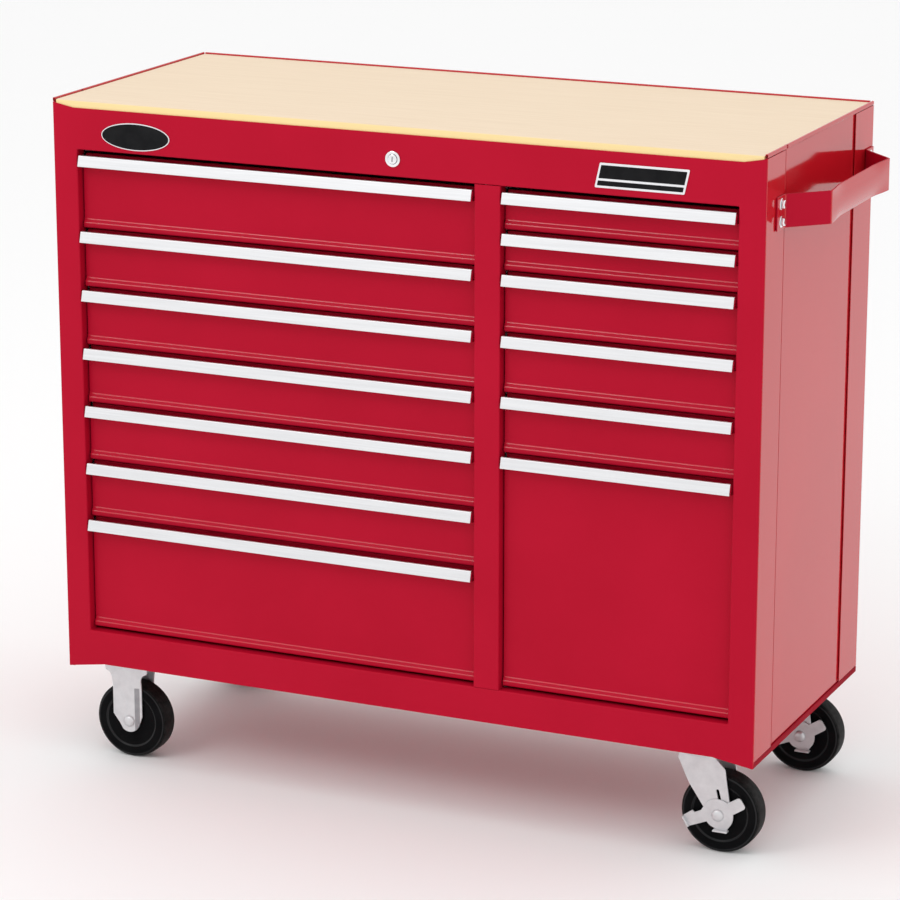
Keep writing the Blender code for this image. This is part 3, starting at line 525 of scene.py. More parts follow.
# the cabinet's folded sheets
def makeFrontShell():
    stileLeft, stileRight = leftX + cabinet["stile"], rightX - cabinet["stile"]
    deselectAll()
    bpy.ops.mesh.primitive_plane_add(size=1, rotation=(math.pi / 2, 0, 0),
                                     location=(middleX, frontY, (lowerEdgeZ + fasciaZ) / 2))
    shell = bpy.context.object
    shell.scale = (rightX - leftX, fasciaZ - lowerEdgeZ, 1)
    bpy.ops.object.transform_apply(location=True, rotation=True, scale=True)
    cutAcross(shell, 0, [leftX + cabinet["riseRun"], stileLeft, leftX + cabinet["cornerRun"],
                         rightX - cabinet["cornerRun"], stileRight, rightX - cabinet["riseRun"]])
    cutAcross(shell, 2, [openingLowZ, openingHighZ])
    inOpening = lambda c: stileLeft < c.x < stileRight and openingLowZ < c.z < openingHighZ
    editFaces(shell, lambda face: inOpening(face.center))
    bpy.ops.mesh.delete(type="FACE")
    backToObject()
    edgeOfOpening = lambda co: (stileLeft - gap < co.x < stileRight + gap
                                and openingLowZ - gap < co.z < openingHighZ + gap)
    editEdges(shell, edgeOfOpening)
    bpy.ops.mesh.extrude_edges_move(TRANSFORM_OT_translate={"value": (0, cabinet["returnDepth"], 0)})
    backToObject()
    atSide = lambda co: near(co.x, leftX) or near(co.x, rightX)
    editEdges(shell, lambda co: atSide(co) and near(co.y, frontY))
    bpy.ops.mesh.extrude_edges_move(TRANSFORM_OT_translate={"value": (0, cabinet["frontWrap"], 0)})
    backToObject()
    for vertex in shell.data.vertices:  # the corners dip at the bottom and rise at the top
        inward = min(vertex.co.x - leftX, rightX - vertex.co.x)
        if near(vertex.co.z, lowerEdgeZ) and near(vertex.co.y, frontY):
            vertex.co.z -= cabinet["cornerDrop"] * max(0, 1 - inward / cabinet["cornerRun"])
        if near(vertex.co.z, fasciaZ):
            vertex.co.z += cabinet["fasciaRise"] * max(0, 1 - inward / cabinet["riseRun"])
    editAll(shell)
    bpy.ops.mesh.normals_make_consistent(inside=False)
    backToObject()
    front = max(shell.data.polygons, key=lambda face: face.area)
    if front.normal.y > 0:
        editAll(shell)
        bpy.ops.mesh.flip_normals()
        backToObject()
    softenEdges(shell, cabinet["cornerFold"], 4, 60, True)
    for vertex in shell.data.vertices:  # the wraps end level, above the side bands
        if vertex.co.y > frontY + 0.8 * cabinet["cornerFold"] and vertex.co.z < openingLowZ - 5 * mm:
            vertex.co.z = max(vertex.co.z, lowerEdgeZ + gap)
    useModifier(shell, "SOLIDIFY", thickness=cabinet["sheet"], offset=-1, use_even_offset=True)
    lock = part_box("lock_housing")
    centre = (lock[0] + lock[1]) / 2
    cutter = turnedPiece([(0, -6 * mm), (9.5 * mm, -6 * mm), (9.5 * mm, 6 * mm), (0, 6 * mm)],
                         (centre.x, frontY, centre.z), "y", 48, closed=False)
    cutWith(shell, cutter)
    finishPiece(shell, "front_shell", "cabinet", redFront, ["front_frame"], 35)
    # the wrap faces at the two sides get the lighter, glossier copy of the red: painted sheen
    paintFaces(shell, redSideSheen, lambda face: abs(face.normal.x) > 0.8 and abs(face.center.x - middleX)
               > (rightX - leftX) / 2 - 1 * mm)


def paintFaces(piece, material, test):
    # gives some faces of a finished piece a second finish
    piece.data.materials.append(material)
    index = len(piece.data.materials) - 1
    for face in piece.data.polygons:
        if test(face):
            face.material_index = index


def makeSideSheet():
    outer = rightX - cabinet["sideRecess"]
    riseZ = wrapTopZ + 2 * gap
    inner = rightX - cabinet["rimWidth"]
    path = [(outer, lowerEdgeZ + gap), (outer, riseZ), (rightX, riseZ), (rightX, rimZ), (inner, rimZ),
            (inner, rimZ - cabinet["rimTurn"])]
    low, high = frontY + 1.5 * mm, backY - 1.5 * mm
    sheet = foldedSheet(path, "y", low, high, cabinet["sideSheet"], cabinet["rimRadius"], 4)
    softenEdges(sheet, cabinet["hem"], 1, 55)
    seamY = frontY + cabinet["frontWrap"] + cabinet["seamOffset"]  # a pressed line behind the front's wrap
    seamEnd = seamY + cabinet["seamWidth"]
    cutAcross(sheet, 1, [seamY, seamY + 0.4 * mm, seamEnd - 0.4 * mm, seamEnd])
    for vertex in sheet.data.vertices:
        if seamY + gap < vertex.co.y < seamEnd - gap and abs(vertex.co.x - outer) < 1.2 * mm:
            vertex.co.x -= cabinet["seamDepth"]
    copy = mirrored(sheet, middleX)
    # both side sheets take the lighter, glossier copy of the red: painted sheen
    right = finishPiece(sheet, "right_side_sheet", "cabinet", redSideSheen, ["right_side_panel"])
    left = finishPiece(copy, "left_side_sheet", "cabinet", redSideSheen, ["left_side_panel"])
    # the pressed line is painted in the darker red: painted shade along the seam
    for side in (right, left):
        paintFaces(side, redSkirtShade, lambda face: seamY < face.center.y < seamEnd and abs(face.normal.x) > 0.5)
    # a band under each side, rolled under at its lower edge, in the darker red: painted shade
    bandEdge = rightX - cabinet["bandTurn"]
    band = [(rightX - 4 * mm, lowerEdgeZ - gap), (rightX, lowerEdgeZ - gap), (rightX, skirtZ),
            (bandEdge, skirtZ), (bandEdge, skirtZ + cabinet["bandLip"])]
    skirt = foldedSheet(list(reversed(band)), "y", frontY + 2.4 * mm, high, cabinet["sideSheet"],
                        cabinet["bandRadius"], 3)
    softenEdges(skirt, cabinet["hem"], 1, 55)
    copy = mirrored(skirt, middleX)
    finishPiece(skirt, "right_skirt_band", "cabinet", redSkirtShade)
    finishPiece(copy, "left_skirt_band", "cabinet", redSkirtShade)


def makeBackSheet():
    wrap = backY - cabinet["backWrap"]
    plan = [(rightX, wrap), (rightX, backY), (leftX, backY), (leftX, wrap)]
    sheet = foldedSheet(plan, "z", lowerEdgeZ + gap, wrapTopZ, cabinet["sheet"], cabinet["cornerFold"], 5)
    softenEdges(sheet, cabinet["hem"], 1, 55)
    lip = backY - cabinet["rimWidth"]
    rim = [(lip, rimZ - cabinet["rimTurn"]), (lip, rimZ), (backY, rimZ), (backY, wrapTopZ + gap)]
    half = (rightX - leftX) / 2 - cabinet["rimWidth"] - cabinet["sheet"] - 2 * gap
    hem = foldedSheet(list(reversed(rim)), "x", middleX - half, middleX + half, cabinet["sheet"],
                      cabinet["rimRadius"], 5)
    softenEdges(hem, cabinet["hem"], 1, 55)
    skirt = [(backY - 8 * mm, skirtZ + gap), (backY, skirtZ + gap), (backY, lowerEdgeZ)]
    lower = foldedSheet(skirt, "x", leftX + 2 * mm, rightX - 2 * mm, cabinet["sheet"], 1.5 * mm, 3)
    # the back sheet takes the lighter, glossier copy of the red: painted sheen
    return finishPiece(joinAll([sheet, hem, lower]), "back_sheet", "cabinet", redSideSheen,
                       ["back_panel"])


def makeCentrePost():
    depth = frontY + cabinet["returnDepth"]
    plan = [(postLow.x, depth), (postLow.x, frontY), (postHigh.x, frontY), (postHigh.x, depth)]
    post = foldedSheet(plan, "z", postLow.z, postHigh.z, cabinet["sheet"], cabinet["cornerFold"], 5)
    return finishPiece(post, "centre_post_cover", "cabinet", redFront, ["centre_post"])


def makeWorktop():
    board = slab(boardLow, boardHigh, 1.8 * mm, 4)
    return finishPiece(board, "worktop_board", "cabinet", boardWood, ["worktop"])


makeFrontShell()
makeSideSheet()
makeBackSheet()
makeCentrePost()
makeWorktop()
print("tool chest: cabinet sheets folded")


# the drawers
drawer = {
    "sheet": 1.0 * mm,
    "recess": 13 * mm,
    "lipRise": 12.5 * mm,
    "lipDepth": 3 * mm,
    "boxMargin": 6.5 * mm,
    "boxFront": 20.5 * mm,
    "boxBack": 395 * mm,
    "wallDrop": 10 * mm,
    "hem": 5 * mm,
    "skinBend": 2.6 * mm,
    "pullHeight": 15 * mm,
    "pullSheet": 1.2 * mm,
    "runnerDrop": 32 * mm,
    "runnerHeight": 26 * mm,
    "runnerDepth": 4.7 * mm,
    "runnerStart": 26 * mm,
    "runnerEnd": 392 * mm,
}


def makeDrawer(name):
    low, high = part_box(name + "_pan")
    left, right, bottom, top = low.x, high.x, low.z, high.z
    sheet, hem = drawer["sheet"], drawer["hem"]
    y = lambda depth: frontY + depth
    floor = top - drawer["pullHeight"] - 0.8 * mm
    recess, lip = drawer["recess"], bottom + drawer["lipRise"]
    lipFront = recess - drawer["lipDepth"]
    skinPath = [(y(-0.15 * mm), top - 2.3 * mm), (y(-3.6 * mm), floor), (y(recess), floor), (y(recess), lip),
                (y(lipFront), lip - 5 * mm), (y(lipFront), bottom), (y(drawer["boxFront"]), bottom)]
    skin = foldedSheet(skinPath, "x", left, right, sheet, drawer["skinBend"], 4)
    softenEdges(skin, 0.2 * mm, 1, 60)
    ledge = slab((left + 0.4 * mm, y(recess - 0.4 * mm), floor + 0.2 * mm),
                 (right - 0.4 * mm, y(drawer["boxFront"] + 0.4 * mm), floor + sheet - 0.2 * mm), 0.1 * mm, 1)
    wallPath = [(y(drawer["boxFront"] + hem), top - hem), (y(drawer["boxFront"] + hem), top),
                (y(drawer["boxFront"]), top), (y(drawer["boxFront"]), bottom + 0.2 * mm)]
    wall = foldedSheet(wallPath, "x", left + 0.2 * mm, right - 0.2 * mm, sheet, 1.4 * mm, 4)
    softenEdges(wall, 0.2 * mm, 1, 60)
    front = finishPiece(joinAll([skin, ledge, wall]), name + "_front", name, redFront,
                        [name + "_pan"])
    # the bend faces of the drawer lip get the lighter, glossier red: painted highlight lines
    paintFaces(front, redBendHighlight, lambda face: face.normal.y < -0.8 and 0.05 < face.normal.z < 0.49
               and lip - 6.5 * mm < face.center.z < lip + 1 * mm)

    boxLeft, boxRight = left + drawer["boxMargin"], right - drawer["boxMargin"]
    boxTop, boxLow = top - drawer["wallDrop"], bottom + 0.5 * mm
    trough = [(boxLeft + hem, boxTop - hem), (boxLeft + hem, boxTop), (boxLeft, boxTop),
              (boxLeft, boxLow), (boxRight, boxLow), (boxRight, boxTop),
              (boxRight - hem, boxTop), (boxRight - hem, boxTop - hem)]
    tub = foldedSheet(trough, "y", y(drawer["boxFront"] + sheet + 0.2 * mm), y(drawer["boxBack"]), sheet,
                      1.6 * mm, 3)
    backPath = [(y(drawer["boxBack"]), boxLow + sheet + 0.1 * mm), (y(drawer["boxBack"]), boxTop),
                (y(drawer["boxBack"] - hem), boxTop), (y(drawer["boxBack"] - hem), boxTop - hem)]
    back = foldedSheet(backPath, "x", boxLeft + hem + 0.2 * mm, boxRight - hem - 0.2 * mm, sheet,
                       1.6 * mm, 3)
    # the box takes the darker copy of the red: painted shade
    finishPiece(joinAll([tub, back]), name + "_box", name, redInsideShade)

    rails = []
    rail = top - drawer["runnerDrop"]
    half, reach = drawer["runnerHeight"] / 2, drawer["runnerDepth"]
    for side, wallX in ((-1, boxLeft), (1, boxRight)):
        section = [(wallX + side * reach, rail - half), (wallX + side * gap, rail - half),
                   (wallX + side * gap, rail + half), (wallX + side * reach, rail + half)]
        if side > 0:
            section.reverse()
        rails.append(foldedSheet(section, "y", y(drawer["runnerStart"]), y(drawer["runnerEnd"]), sheet,
                                 1.2 * mm, 3))
    finishPiece(joinAll(rails), name + "_runners", name, zincPlate)

    pullLow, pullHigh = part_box(name + "_pull")
    pullPath = [(y(1.2 * mm), top), (y(-1.5 * mm), top), (y(-5.5 * mm), top - drawer["pullHeight"]),
                (y(-3.8 * mm), top - drawer["pullHeight"])]
    pull = foldedSheet(pullPath, "x", pullLow.x, pullHigh.x, drawer["pullSheet"], 1.6 * mm, 4)
    softenEdges(pull, 0.25 * mm, 2, 60)
    finishPiece(pull, name + "_trim", name, brightTrim, [name + "_pull"])


drawerNames = sorted(body for body in frame["bodies"] if "_drawer_" in body)
for drawerName in drawerNames:
    makeDrawer(drawerName)
print("tool chest:", len(drawerNames), "drawers folded")


# the handle, the lock and the badges
handle = {
    "sheet": 2.4 * mm,
    "bend": 5 * mm,
    "crown": 6 * mm,
    "crownRun": 55 * mm,
    "rows": 12,
    "columns": 14,
    "front": 36 * mm,
    "back": 435 * mm,
    "foot": 29 * mm,
    "legRun": 47 * mm,
    "boltInset": 10.5 * mm,
    "washer": 7.8 * mm,
    "boltHead": 6.2 * mm,
    "boltLow": 1.3 * mm,
    "boltHigh": 5.6 * mm,
}


def makeBolt(x, y, z):
    # a domed hexagon head on a washer, pointing along +X
    reach, base = handle["washer"], handle["boltLow"]
    side = [(0, 0), (reach, 0), (reach, base - 0.6 * mm), (reach - 0.6 * mm, base), (0, base)]
    washer = turnedPiece(side, (x, y, z), "x", 32, closed=False)
    hexagon = [(y + a, z + b) for a, b in arc((0, 0), handle["boltHead"], 0, 300, 5)]
    head = softenEdges(plate(hexagon, "x", x + base, x + handle["boltHigh"]), 1.6 * mm, 4, 50, True)
    return [washer, head]


def makeHandle():
    low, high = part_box("side_handle")
    face, outer = rightX + gap + handle["sheet"], high.x
    front, back = frontY + handle["front"], frontY + handle["back"]
    bends = [front + handle["foot"], front + handle["foot"] + handle["legRun"],
             back - handle["foot"] - handle["legRun"], back - handle["foot"]]
    path = [(face, front), (face, bends[0]), (outer, bends[1]), (outer, bends[2]), (face, bends[3]),
            (face, back)]
    strap = drawChain([Vector((a, b, low.z)) for a, b in roundedPath(path, handle["bend"], 6)], False)
    editAll(strap)
    rise = (high.z - low.z) / handle["rows"]
    for _ in range(handle["rows"]):
        bpy.ops.mesh.extrude_edges_move(TRANSFORM_OT_translate={"value": (0, 0, rise)})
    backToObject()
    gripFront, gripBack = bends[1] + 3 * mm, bends[2] - 3 * mm
    cutAcross(strap, 1, [gripFront + (gripBack - gripFront) * i / handle["columns"]
                         for i in range(handle["columns"] + 1)])
    middleZ, halfZ = (low.z + high.z) / 2, (high.z - low.z) / 2
    for vertex in strap.data.vertices:  # away from its bends the grip is crowned: its long edges curl in
        inside = min(vertex.co.y - gripFront, gripBack - vertex.co.y)
        vertex.co.x -= (handle["crown"] * smoothStep(inside, 0, handle["crownRun"])
                        * ((vertex.co.z - middleZ) / halfZ) ** 2)
    editAll(strap)
    bpy.ops.mesh.normals_make_consistent(inside=False)
    backToObject()
    grip = max(strap.data.polygons, key=lambda face: face.center.x)
    if grip.normal.x < 0:
        editAll(strap)
        bpy.ops.mesh.flip_normals()
        backToObject()
    useModifier(strap, "SOLIDIFY", thickness=handle["sheet"], offset=-1, use_even_offset=True)
    softenEdges(strap, 0.7 * mm, 3, 60)
    finishPiece(strap, "handle_strap", "cabinet", redFront, ["side_handle"], 40)
    # the grip's outer faces get the lighter, glossier copy of the red: painted sheen
    paintFaces(strap, redSideSheen, lambda face: face.normal.x > 0.8)
    bolts = []
    for spot in (front + handle["foot"] / 2, back - handle["foot"] / 2):
        for z in (low.z + handle["boltInset"], high.z - handle["boltInset"]):
            bolts += makeBolt(face, spot, z)
    finishPiece(joinAll(bolts), "handle_bolts", "cabinet", polishedSteel)


lock = {
    "barrel": 9.2 * mm,
    "flange": 11 * mm,
    "bore": 6.8 * mm,
    "depth": 15 * mm,
    "core": 6.5 * mm,
    "camRadius": 12 * mm,
    "camFront": 17.5 * mm,
    "camBack": 20 * mm,
    "pinOffset": 8 * mm,
    "keyway": ((-0.7, -3.8), (0.7, -3.8), (0.7, 1.2), (1.5, 1.2), (1.5, 3.8), (-0.7, 3.8)),
}


def makeLock():
    low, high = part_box("lock_housing")
    centre = ((low.x + high.x) / 2, frontY, (low.z + high.z) / 2)
    bore, flange, barrel, core = lock["bore"], lock["flange"], lock["barrel"], lock["core"]
    shape = [(bore, lock["depth"]), (bore, -1.2 * mm), (bore + 0.8 * mm, -2.0 * mm),
             (flange - 1.4 * mm, -2.0 * mm), (flange - 0.4 * mm, -1.5 * mm), (flange, -0.8 * mm),
             (flange, -gap), (barrel, -gap), (barrel, lock["depth"])]
    ringPiece = turnedPiece(shape, centre, "y", 64)
    finishPiece(ringPiece, "lock_ring", "cabinet", polishedSteel, ["lock_housing"])
    side = [(0, -2.6 * mm), (core - 0.9 * mm, -2.6 * mm), (core - 0.2 * mm, -2.2 * mm), (core, -1.5 * mm),
            (core, lock["camFront"]), (lock["camRadius"], lock["camFront"]),
            (lock["camRadius"], lock["camBack"]), (0, lock["camBack"])]
    plug = turnedPiece(side, centre, "y", 48, closed=False)
    keyway = plate([(centre[0] + a * mm, centre[2] + b * mm) for a, b in lock["keyway"]],
                   "y", frontY - 5 * mm, frontY + 3 * mm)
    cutWith(plug, keyway)
    pinSide = [(0, 19 * mm), (2 * mm, 19 * mm), (2 * mm, 26.4 * mm), (1.6 * mm, 27 * mm), (0, 27 * mm)]
    pin = turnedPiece(pinSide, (centre[0] + lock["pinOffset"], centre[1], centre[2]), "y", 24, closed=False)
    finishPiece(joinAll([plug, pin]), "lock_core", "lock_plug", polishedSteel, ["lock_plug"])


badge = {
    "rise": 1.3 * mm,
    "border": 1.4 * mm,
    "ovalX": 130 * mm,
    "ovalDrop": 34 * mm,
    "ovalHalfWidth": 53 * mm,
    "ovalHalfHeight": 19 * mm,
    "plateX": 872 * mm,
    "plateDrop": 32 * mm,
    "plateHalfWidth": 62 * mm,
    "plateHalfHeight": 16.5 * mm,
    "lean": 0.22,
    "stripes": ((-4 * mm, 13.5 * mm), (-13.5 * mm, -7 * mm)),
}


def oval(x, z, halfWidth, halfHeight, steps):
    angles = [2 * math.pi * i / steps for i in range(steps)]
    return [(x + halfWidth * math.cos(a), z + halfHeight * math.sin(a)) for a in angles]


def leaningPlate(x, z, halfWidth, low, high, radius):
    # a rectangle that leans a little to the right, with rounded corners
    lean = badge["lean"]
    corners = [(x - halfWidth + low * lean, z + low), (x + halfWidth + low * lean, z + low),
               (x + halfWidth + high * lean, z + high), (x - halfWidth + high * lean, z + high)]
    return roundedPath(corners, radius, 5, closed=True)


def makeBadges():
    front = frontY - badge["rise"]
    x, z = leftX + badge["ovalX"], fasciaZ - badge["ovalDrop"]
    width, height, border = badge["ovalHalfWidth"], badge["ovalHalfHeight"], badge["border"]
    rim = plate(oval(x, z, width, height, 72), "y", front, frontY - 0.05 * mm)
    finishPiece(softenEdges(rim, 0.4 * mm, 2, 50), "oval_badge_rim", "cabinet", badgeSilver)
    field = plate(oval(x, z, width - border, height - border, 72), "y", front - 0.3 * mm, front + 0.1 * mm)
    finishPiece(softenEdges(field, 0.15 * mm, 1, 50), "oval_badge_field", "cabinet", badgeBlack)
    x, z = leftX + badge["plateX"], fasciaZ - badge["plateDrop"]
    width, height = badge["plateHalfWidth"], badge["plateHalfHeight"]
    rim = plate(leaningPlate(x, z, width, -height, height, 2 * mm), "y", front, frontY - 0.05 * mm)
    finishPiece(softenEdges(rim, 0.4 * mm, 2, 50), "plain_badge_rim", "cabinet", badgeSilver)
    fields = []
    for low, high in badge["stripes"]:
        stripe = leaningPlate(x, z, width - 2 * border, low, high, 1 * mm)
        fields.append(plate(stripe, "y", front - 0.3 * mm, front + 0.1 * mm))
    finishPiece(softenEdges(joinAll(fields), 0.15 * mm, 1, 50), "plain_badge_field", "cabinet", badgeBlack)


makeHandle()
makeLock()
makeBadges()
print("tool chest: handle, lock and badges fitted")


# the casters
caster = {
    "legSheet": 2.5 * mm,
    "plateSheet": 3 * mm,
    "ribHalf": 9.5 * mm,
    "ribSlope": 7 * mm,
    "ribRise": 2.4 * mm,
    "rivet": 8.5 * mm,
    "rivetRise": 4.2 * mm,
    "leverSheet": 2.2 * mm,
    "bore": 6.3 * mm,
    "boreReach": 40 * mm,
    "legOffset": 21.5 * mm,
    "plateBolt": 5.4 * mm,
    "shoulder": 6 * mm,
    "hub": 14 * mm,
    "ringInner": 18 * mm,
    "ringOuter": 15.2 * mm,
}


def axleBore(centre):
    bore, reach = caster["bore"], caster["boreReach"]
    side = [(0, -reach), (bore, -reach), (bore, reach), (0, reach)]
    return turnedPiece(side, centre, "y", 32, closed=False)


def makeWheel(place):
    node, body = place + "_wheel", place + "_wheel"
    low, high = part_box(node)
    centre = (low + high) / 2
    rim, half = (high.z - low.z) / 2, (high.y - low.y) / 2 - 2 * mm
    inner, turn, hub = caster["ringInner"], caster["shoulder"], caster["hub"]
    shoulder = arc((rim - turn, half - turn), turn, 90, 20, 7)
    side = ([(caster["bore"], half + 2 * mm), (hub, half + 2 * mm), (hub + 1.5 * mm, half + 1.2 * mm),
             (hub + 2.5 * mm, half - 1 * mm), (hub + 4 * mm, half - 1.6 * mm),
             (rim - inner, half - 1.6 * mm), (rim - 16.6 * mm, half - 0.8 * mm),
             (rim - 16 * mm, half - 0.1 * mm), (rim - caster["ringOuter"], half)]
            + shoulder + [(rim - 0.15 * mm, half - 9 * mm)])
    profile = side + [(rim, 0)] + [(radius, -depth) for radius, depth in reversed(side)]
    wheel = turnedPiece(profile, centre, "y", 96)
    wheel.data.materials.clear()
    wheel.data.materials.append(wheelBlack)
    wheel.data.materials.append(wheelTread)
    wheel.data.materials.append(wheelRingHighlight)
    # the ring groove and a band near the shoulder get the lighter, glossier black: painted highlight rings
    for face in wheel.data.polygons:
        radius = math.hypot(face.center.x - centre.x, face.center.z - centre.z)
        onHighlight = rim - inner < radius < rim - caster["ringOuter"]
        onHighlight = onHighlight or rim - 5.2 * mm < radius < rim - 3.2 * mm
        face.material_index = 1 if radius > rim - 2.2 * mm else 2 * onHighlight
    finishPiece(wheel, place + "_tyre", body, None, [node], 40)


def makeRivet(place, name, body, outer):
    # a domed rivet head at the front, a flat one at the back, and the axle between them
    low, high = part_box(place + "_axle")
    centre = Vector(((low.x + high.x) / 2, 0, (low.z + high.z) / 2))
    radius = caster["rivet"]
    rise = caster["rivetRise"]
    dome = [(radius * math.cos(a), low.y + rise - rise * math.sin(a))
            for a in [math.radians(90 - 90 * i / 7) for i in range(8)]]
    profile = dome + [(6 * mm, low.y + rise + 0.2 * mm), (6 * mm, high.y - 2 * mm), (radius, high.y - 2 * mm),
                      (radius, high.y - 0.6 * mm), (radius - 0.7 * mm, high.y), (0, high.y)]
    rivet = turnedPiece(profile, centre, "y", 40, closed=False)
    finishPiece(rivet, name, body, zincPlate, [place + "_axle"], 40)


def makeRigidFork(place):
    node = place + "_fork"
    low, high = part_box(node)
    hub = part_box(place + "_wheel")
    centre = (hub[0] + hub[1]) / 2
    x, height = centre.x, centre.z
    top = high.z - 1.2 * mm
    end = arc((x, height), 16.5 * mm, 215, 335, 14)
    right = list(reversed(arc((x + 32 * mm, height + 62 * mm), 12 * mm, 100, 180, 8)))
    left = list(reversed(arc((x - 39 * mm, height + 62 * mm), 12 * mm, 0, 80, 8)))
    outline = (end + [(x + 20 * mm, height + 8 * mm)] + right + [(x + 32 * mm, top), (x - 39 * mm, top)]
               + left + [(x - 27 * mm, height + 8 * mm)])
    legs = []
    ribFoot = caster["ribHalf"] + caster["ribSlope"]
    for side, face in ((-1, low.y), (1, high.y)):
        outer = centre.y + side * caster["legOffset"]
        inner = outer - side * caster["legSheet"]
        leg = plate(outline, "y", min(outer, inner), max(outer, inner))
        cutAcross(leg, 0, [x + s for s in (-ribFoot, -caster["ribHalf"], caster["ribHalf"], ribFoot)])
        cutAcross(leg, 2, [height + s * mm for s in (46, 51, 56, 61, 66)])
        for vertex in leg.data.vertices:  # the sides of the leg lie lower than the rib down its middle
            down = smoothStep(abs(vertex.co.x - x), caster["ribHalf"] - 0.01 * mm, ribFoot)
            fade = 1 - smoothStep(vertex.co.z, height + 46 * mm, height + 66 * mm)
            vertex.co.y -= side * caster["ribRise"] * down * fade
        cutWith(leg, axleBore(centre))
        legs.append(softenEdges(leg, 0.5 * mm, 2, 62))
    crown = slab((low.x, low.y, high.z - caster["plateSheet"]), (high.x, high.y, high.z), 0.8 * mm, 2)
    fork = finishPiece(joinAll(legs + [crown]), node + "_pressing", "cabinet", zincPlate,
                       [node], 35)
    # the rib's slopes that face +X get the darker zinc: painted shade
    paintFaces(fork, zincPaintedShade, lambda face: face.normal.x > 0.25 and abs(face.center.x - x) < ribFoot)
    makeRivet(place, place + "_axle_rivet", "cabinet", low.y)


def makePlateBolts(place, node):
    low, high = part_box(node)
    z = high.z - caster["plateSheet"]
    bolts = []
    for bx in (low.x + 8 * mm, high.x - 8 * mm):
        for by in (low.y + 8 * mm, high.y - 8 * mm):
            hexagon = [(bx + a, by + b) for a, b in arc((0, 0), caster["plateBolt"], 0, 300, 5)]
            bolts.append(softenEdges(plate(hexagon, "z", z - 3.6 * mm, z), 0.7 * mm, 2, 50, True))
    finishPiece(joinAll(bolts), place + "_plate_bolts", "cabinet", zincPlate)


def makeSwivelPlate(place):
    node = place + "_plate"
    low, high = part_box(node)
    pin = Vector(((low.x + high.x) / 2, (low.y + high.y) / 2, 0))
    sheet = caster["plateSheet"]
    top = slab((low.x, low.y, high.z - sheet), (high.x, high.y, high.z), 0.8 * mm, 2)
    crownTop = high.z - sheet - 4.5 * mm
    crownLow = crownTop - 3 * mm
    dome = arc((21 * mm, crownTop + 5.5 * mm), 4.5 * mm, 270, 360, 6)
    profile = ([(0, low.z), (6.5 * mm, low.z), (8 * mm, low.z + 1.5 * mm), (8 * mm, crownLow - 1 * mm),
                (5 * mm, crownLow - 1 * mm), (5 * mm, crownTop + 1 * mm)] + dome
               + [(25.5 * mm, high.z - sheet + 0.5 * mm), (0, high.z - sheet + 0.5 * mm)])
    race = turnedPiece(profile, pin, "z", 64, closed=False)
    finishPiece(joinAll([top, race]), node + "_race", "cabinet", zincPlate, [node], 40)
    makePlateBolts(place, node)


def makeSwivelFork(place, turnBody):
    node = place + "_fork"
    low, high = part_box(node)
    plateLow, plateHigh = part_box(place + "_plate")
    pinX = (plateLow.x + plateHigh.x) / 2
    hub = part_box(place + "_wheel")
    centre = (hub[0] + hub[1]) / 2
    x, height, top = centre.x, centre.z, high.z
    end = arc((x, height), 17 * mm, 195, 345, 16)
    right = roundedPath([end[-1], (x + 17 * mm, height + 12 * mm), (x + 8 * mm, height + 66 * mm),
                         (pinX + 28 * mm, top - 6 * mm), (pinX + 22 * mm, top)], 9 * mm, 6)[1:]
    left = roundedPath([(pinX - 24 * mm, top), (pinX - 27 * mm, top - 10 * mm),
                        (x - 43 * mm, height + 40 * mm), (x - 20 * mm, height + 6 * mm)], 6 * mm, 5)
    outline = end + right + left
    slot = arc((x + 2.5 * mm, height + 18 * mm), 2 * mm, 190, 370, 8)
    slot += arc((x - 1.5 * mm, height + 34 * mm), 2 * mm, 10, 190, 8)
    pieces = []
    for side in (-1, 1):
        outer = centre.y + side * caster["legOffset"]
        inner = outer - side * caster["legSheet"]
        leg = plate(outline, "y", min(outer, inner), max(outer, inner))
        cutWith(leg, plate(slot, "y", min(outer, inner) - 3 * mm, max(outer, inner) + 3 * mm))
        cutWith(leg, axleBore(centre))
        pieces.append(softenEdges(leg, 0.6 * mm, 3, 50))
    crownLow = top - 3 * mm
    pin = (pinX, centre.y, 0)
    crown = turnedPiece([(6 * mm, crownLow), (28.4 * mm, crownLow), (29 * mm, crownLow + 0.8 * mm),
                         (29 * mm, top - 0.8 * mm), (28.4 * mm, top), (6 * mm, top)], pin, "z", 64)
    pieces.append(crown)
    for side in (-1, 1):
        edge = centre.y + side * 20 * mm
        pieces.append(slab((pinX - 22 * mm, edge - 1.4 * mm, crownLow),
                           (pinX + 22 * mm, edge + 1.4 * mm, top), 0.5 * mm, 2))
    finishPiece(joinAll(pieces), node + "_pressing", turnBody, zincPlate, [node], 40)
    makeRivet(place, place + "_axle_rivet", turnBody, low.y)


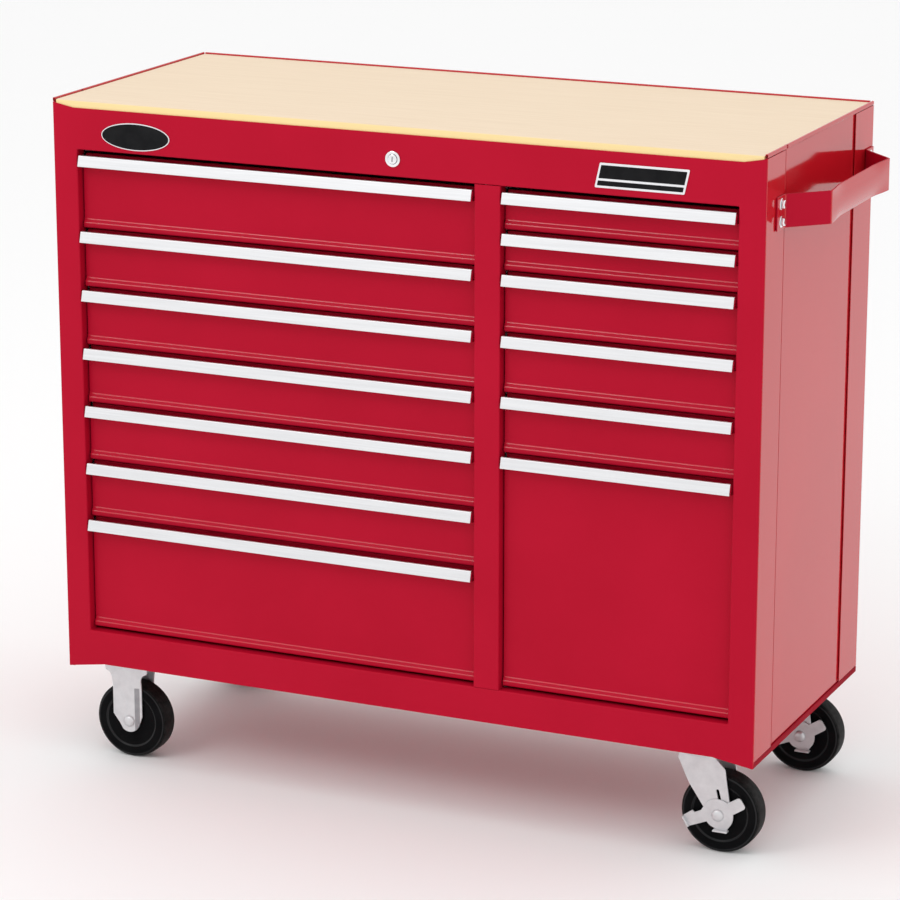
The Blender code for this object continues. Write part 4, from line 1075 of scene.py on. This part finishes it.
def makeBrakeLever(corner):
    node, body = corner + "_brake_lever", corner + "_brake"
    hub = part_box(corner + "_swivel_wheel")
    centre = (hub[0] + hub[1]) / 2
    x, z = centre.x, centre.z
    high = centre.y - 21.8 * mm
    low = high - caster["leverSheet"]
    spot = lambda a, b: (x + a * mm, z + b * mm)
    outline = (arc((x, z), 19 * mm, 215, 258, 6)
               + [spot(-4, -19), spot(15, -17)]
               + arc((x, z), 22 * mm, 318, 370, 8)
               + arc((x + 34.3 * mm, z + 16.9 * mm), 4 * mm, -57, 33, 6)
               + arc((x + 29.4 * mm, z + 24.5 * mm), 4 * mm, 33, 123, 6)
               + arc((x, z), 23 * mm, 55, 136, 9)
               + [spot(-24, 4), spot(-33, -0.5), spot(-36, 2.5), spot(-49, -7), spot(-40, -21)])
    lever = plate(outline, "y", low, high)
    cutWith(lever, axleBore(centre))
    softenEdges(lever, 0.5 * mm, 2, 50)
    tab = slab((x - 5 * mm, low - 7 * mm, z - 21.5 * mm),
               (x + 16 * mm, high - 0.5 * mm, z - 19.3 * mm), 0.6 * mm, 3)
    web = slab((x - 3 * mm, low + 0.2 * mm, z - 20 * mm),
               (x + 14 * mm, high - 0.2 * mm, z - 12 * mm), 0.2 * mm, 1)
    tread = [(x - 49.5 * mm, z - 7.5 * mm), (x - 47.6 * mm, z - 6.3 * mm), (x - 39 * mm, z - 20.4 * mm),
             (x - 41 * mm, z - 21.6 * mm)]
    pedal = softenEdges(plate(tread, "y", low - 6 * mm, high - 0.5 * mm), 0.6 * mm, 3, 50)
    finishPiece(joinAll([lever, tab, web, pedal]), corner + "_brake_pressing", body, zincPlate,
                [node], 40)


for corner in ("front", "rear"):
    makeRigidFork(corner + "_rigid")
    makePlateBolts(corner + "_rigid", corner + "_rigid_fork")
    makeWheel(corner + "_rigid")
    makeSwivelPlate(corner + "_swivel")
    makeSwivelFork(corner + "_swivel", corner + "_swivel")
    makeWheel(corner + "_swivel")
    makeBrakeLever(corner)
print("tool chest: casters built")


# floor, light and camera
studio = {
    "worldStrength": 1.0,
    "floorTone": 0.95,
    "lens": 141.3,
    "cameraPlace": (1.9364, -4.3868, 1.7869),
    "yaw": 24.276,
    "pitch": -15.388,
    "softboxes": (("overheadSoftbox", (0.3, -0.8, 3.4), (3.2, 2.4), 8),
                  ("frontSoftbox", (-1.7, -3.0, 3.1), (1.6, 1.2), 20)),
    "lightTarget": (0, 0, 0.5),
}


def makeFloor():
    deselectAll()
    bpy.ops.mesh.primitive_plane_add(size=80, location=(0, 0, 0))
    floor = bpy.context.object
    floor.name = "studio_floor"
    material = bpy.data.materials.new("paleFloor")
    material.use_nodes = True
    shader = material.node_tree.nodes["Principled BSDF"]
    shader.inputs["Base Color"].default_value = tone(*[studio["floorTone"]] * 3)
    shader.inputs["Roughness"].default_value = 0.8
    shader.inputs["Specular IOR Level"].default_value = 0.1
    floor.data.materials.append(material)


def addSoftbox(name, place, target, size, power):
    light = bpy.data.lights.new(name, "AREA")
    light.shape = "RECTANGLE"
    light.size, light.size_y = size
    light.energy = power
    lamp = bpy.data.objects.new(name, light)
    bpy.context.scene.collection.objects.link(lamp)
    lamp.location = place
    lamp.rotation_euler = (Vector(target) - Vector(place)).to_track_quat("-Z", "Y").to_euler()
    return lamp


def makeStudio():
    world = bpy.data.worlds.new("paleStudio")
    world.use_nodes = True
    background = world.node_tree.nodes["Background"]
    background.inputs["Color"].default_value = (1, 1, 1, 1)
    background.inputs["Strength"].default_value = studio["worldStrength"]
    bpy.context.scene.world = world
    for name, place, size, power in studio["softboxes"]:
        addSoftbox(name, place, studio["lightTarget"], size, power)
    view = bpy.context.scene.view_settings
    view.view_transform = "Standard"
    view.look = "None"


def makeCamera():
    camera = bpy.data.cameras.new("studioCamera")
    camera.lens = studio["lens"]
    camera.sensor_width = 36
    camera.dof.use_dof = False
    camera.clip_end = 200
    rig = bpy.data.objects.new("studioCamera", camera)
    bpy.context.scene.collection.objects.link(rig)
    yaw, pitch = math.radians(studio["yaw"]), math.radians(studio["pitch"])
    ahead = Vector((-math.sin(yaw) * math.cos(pitch), math.cos(yaw) * math.cos(pitch), math.sin(pitch)))
    rig.location = studio["cameraPlace"]
    rig.rotation_euler = ahead.to_track_quat("-Z", "Y").to_euler()
    bpy.context.scene.camera = rig


makeFloor()
makeStudio()
makeCamera()
bpy.context.view_layer.update()
print("tool chest: studio ready")
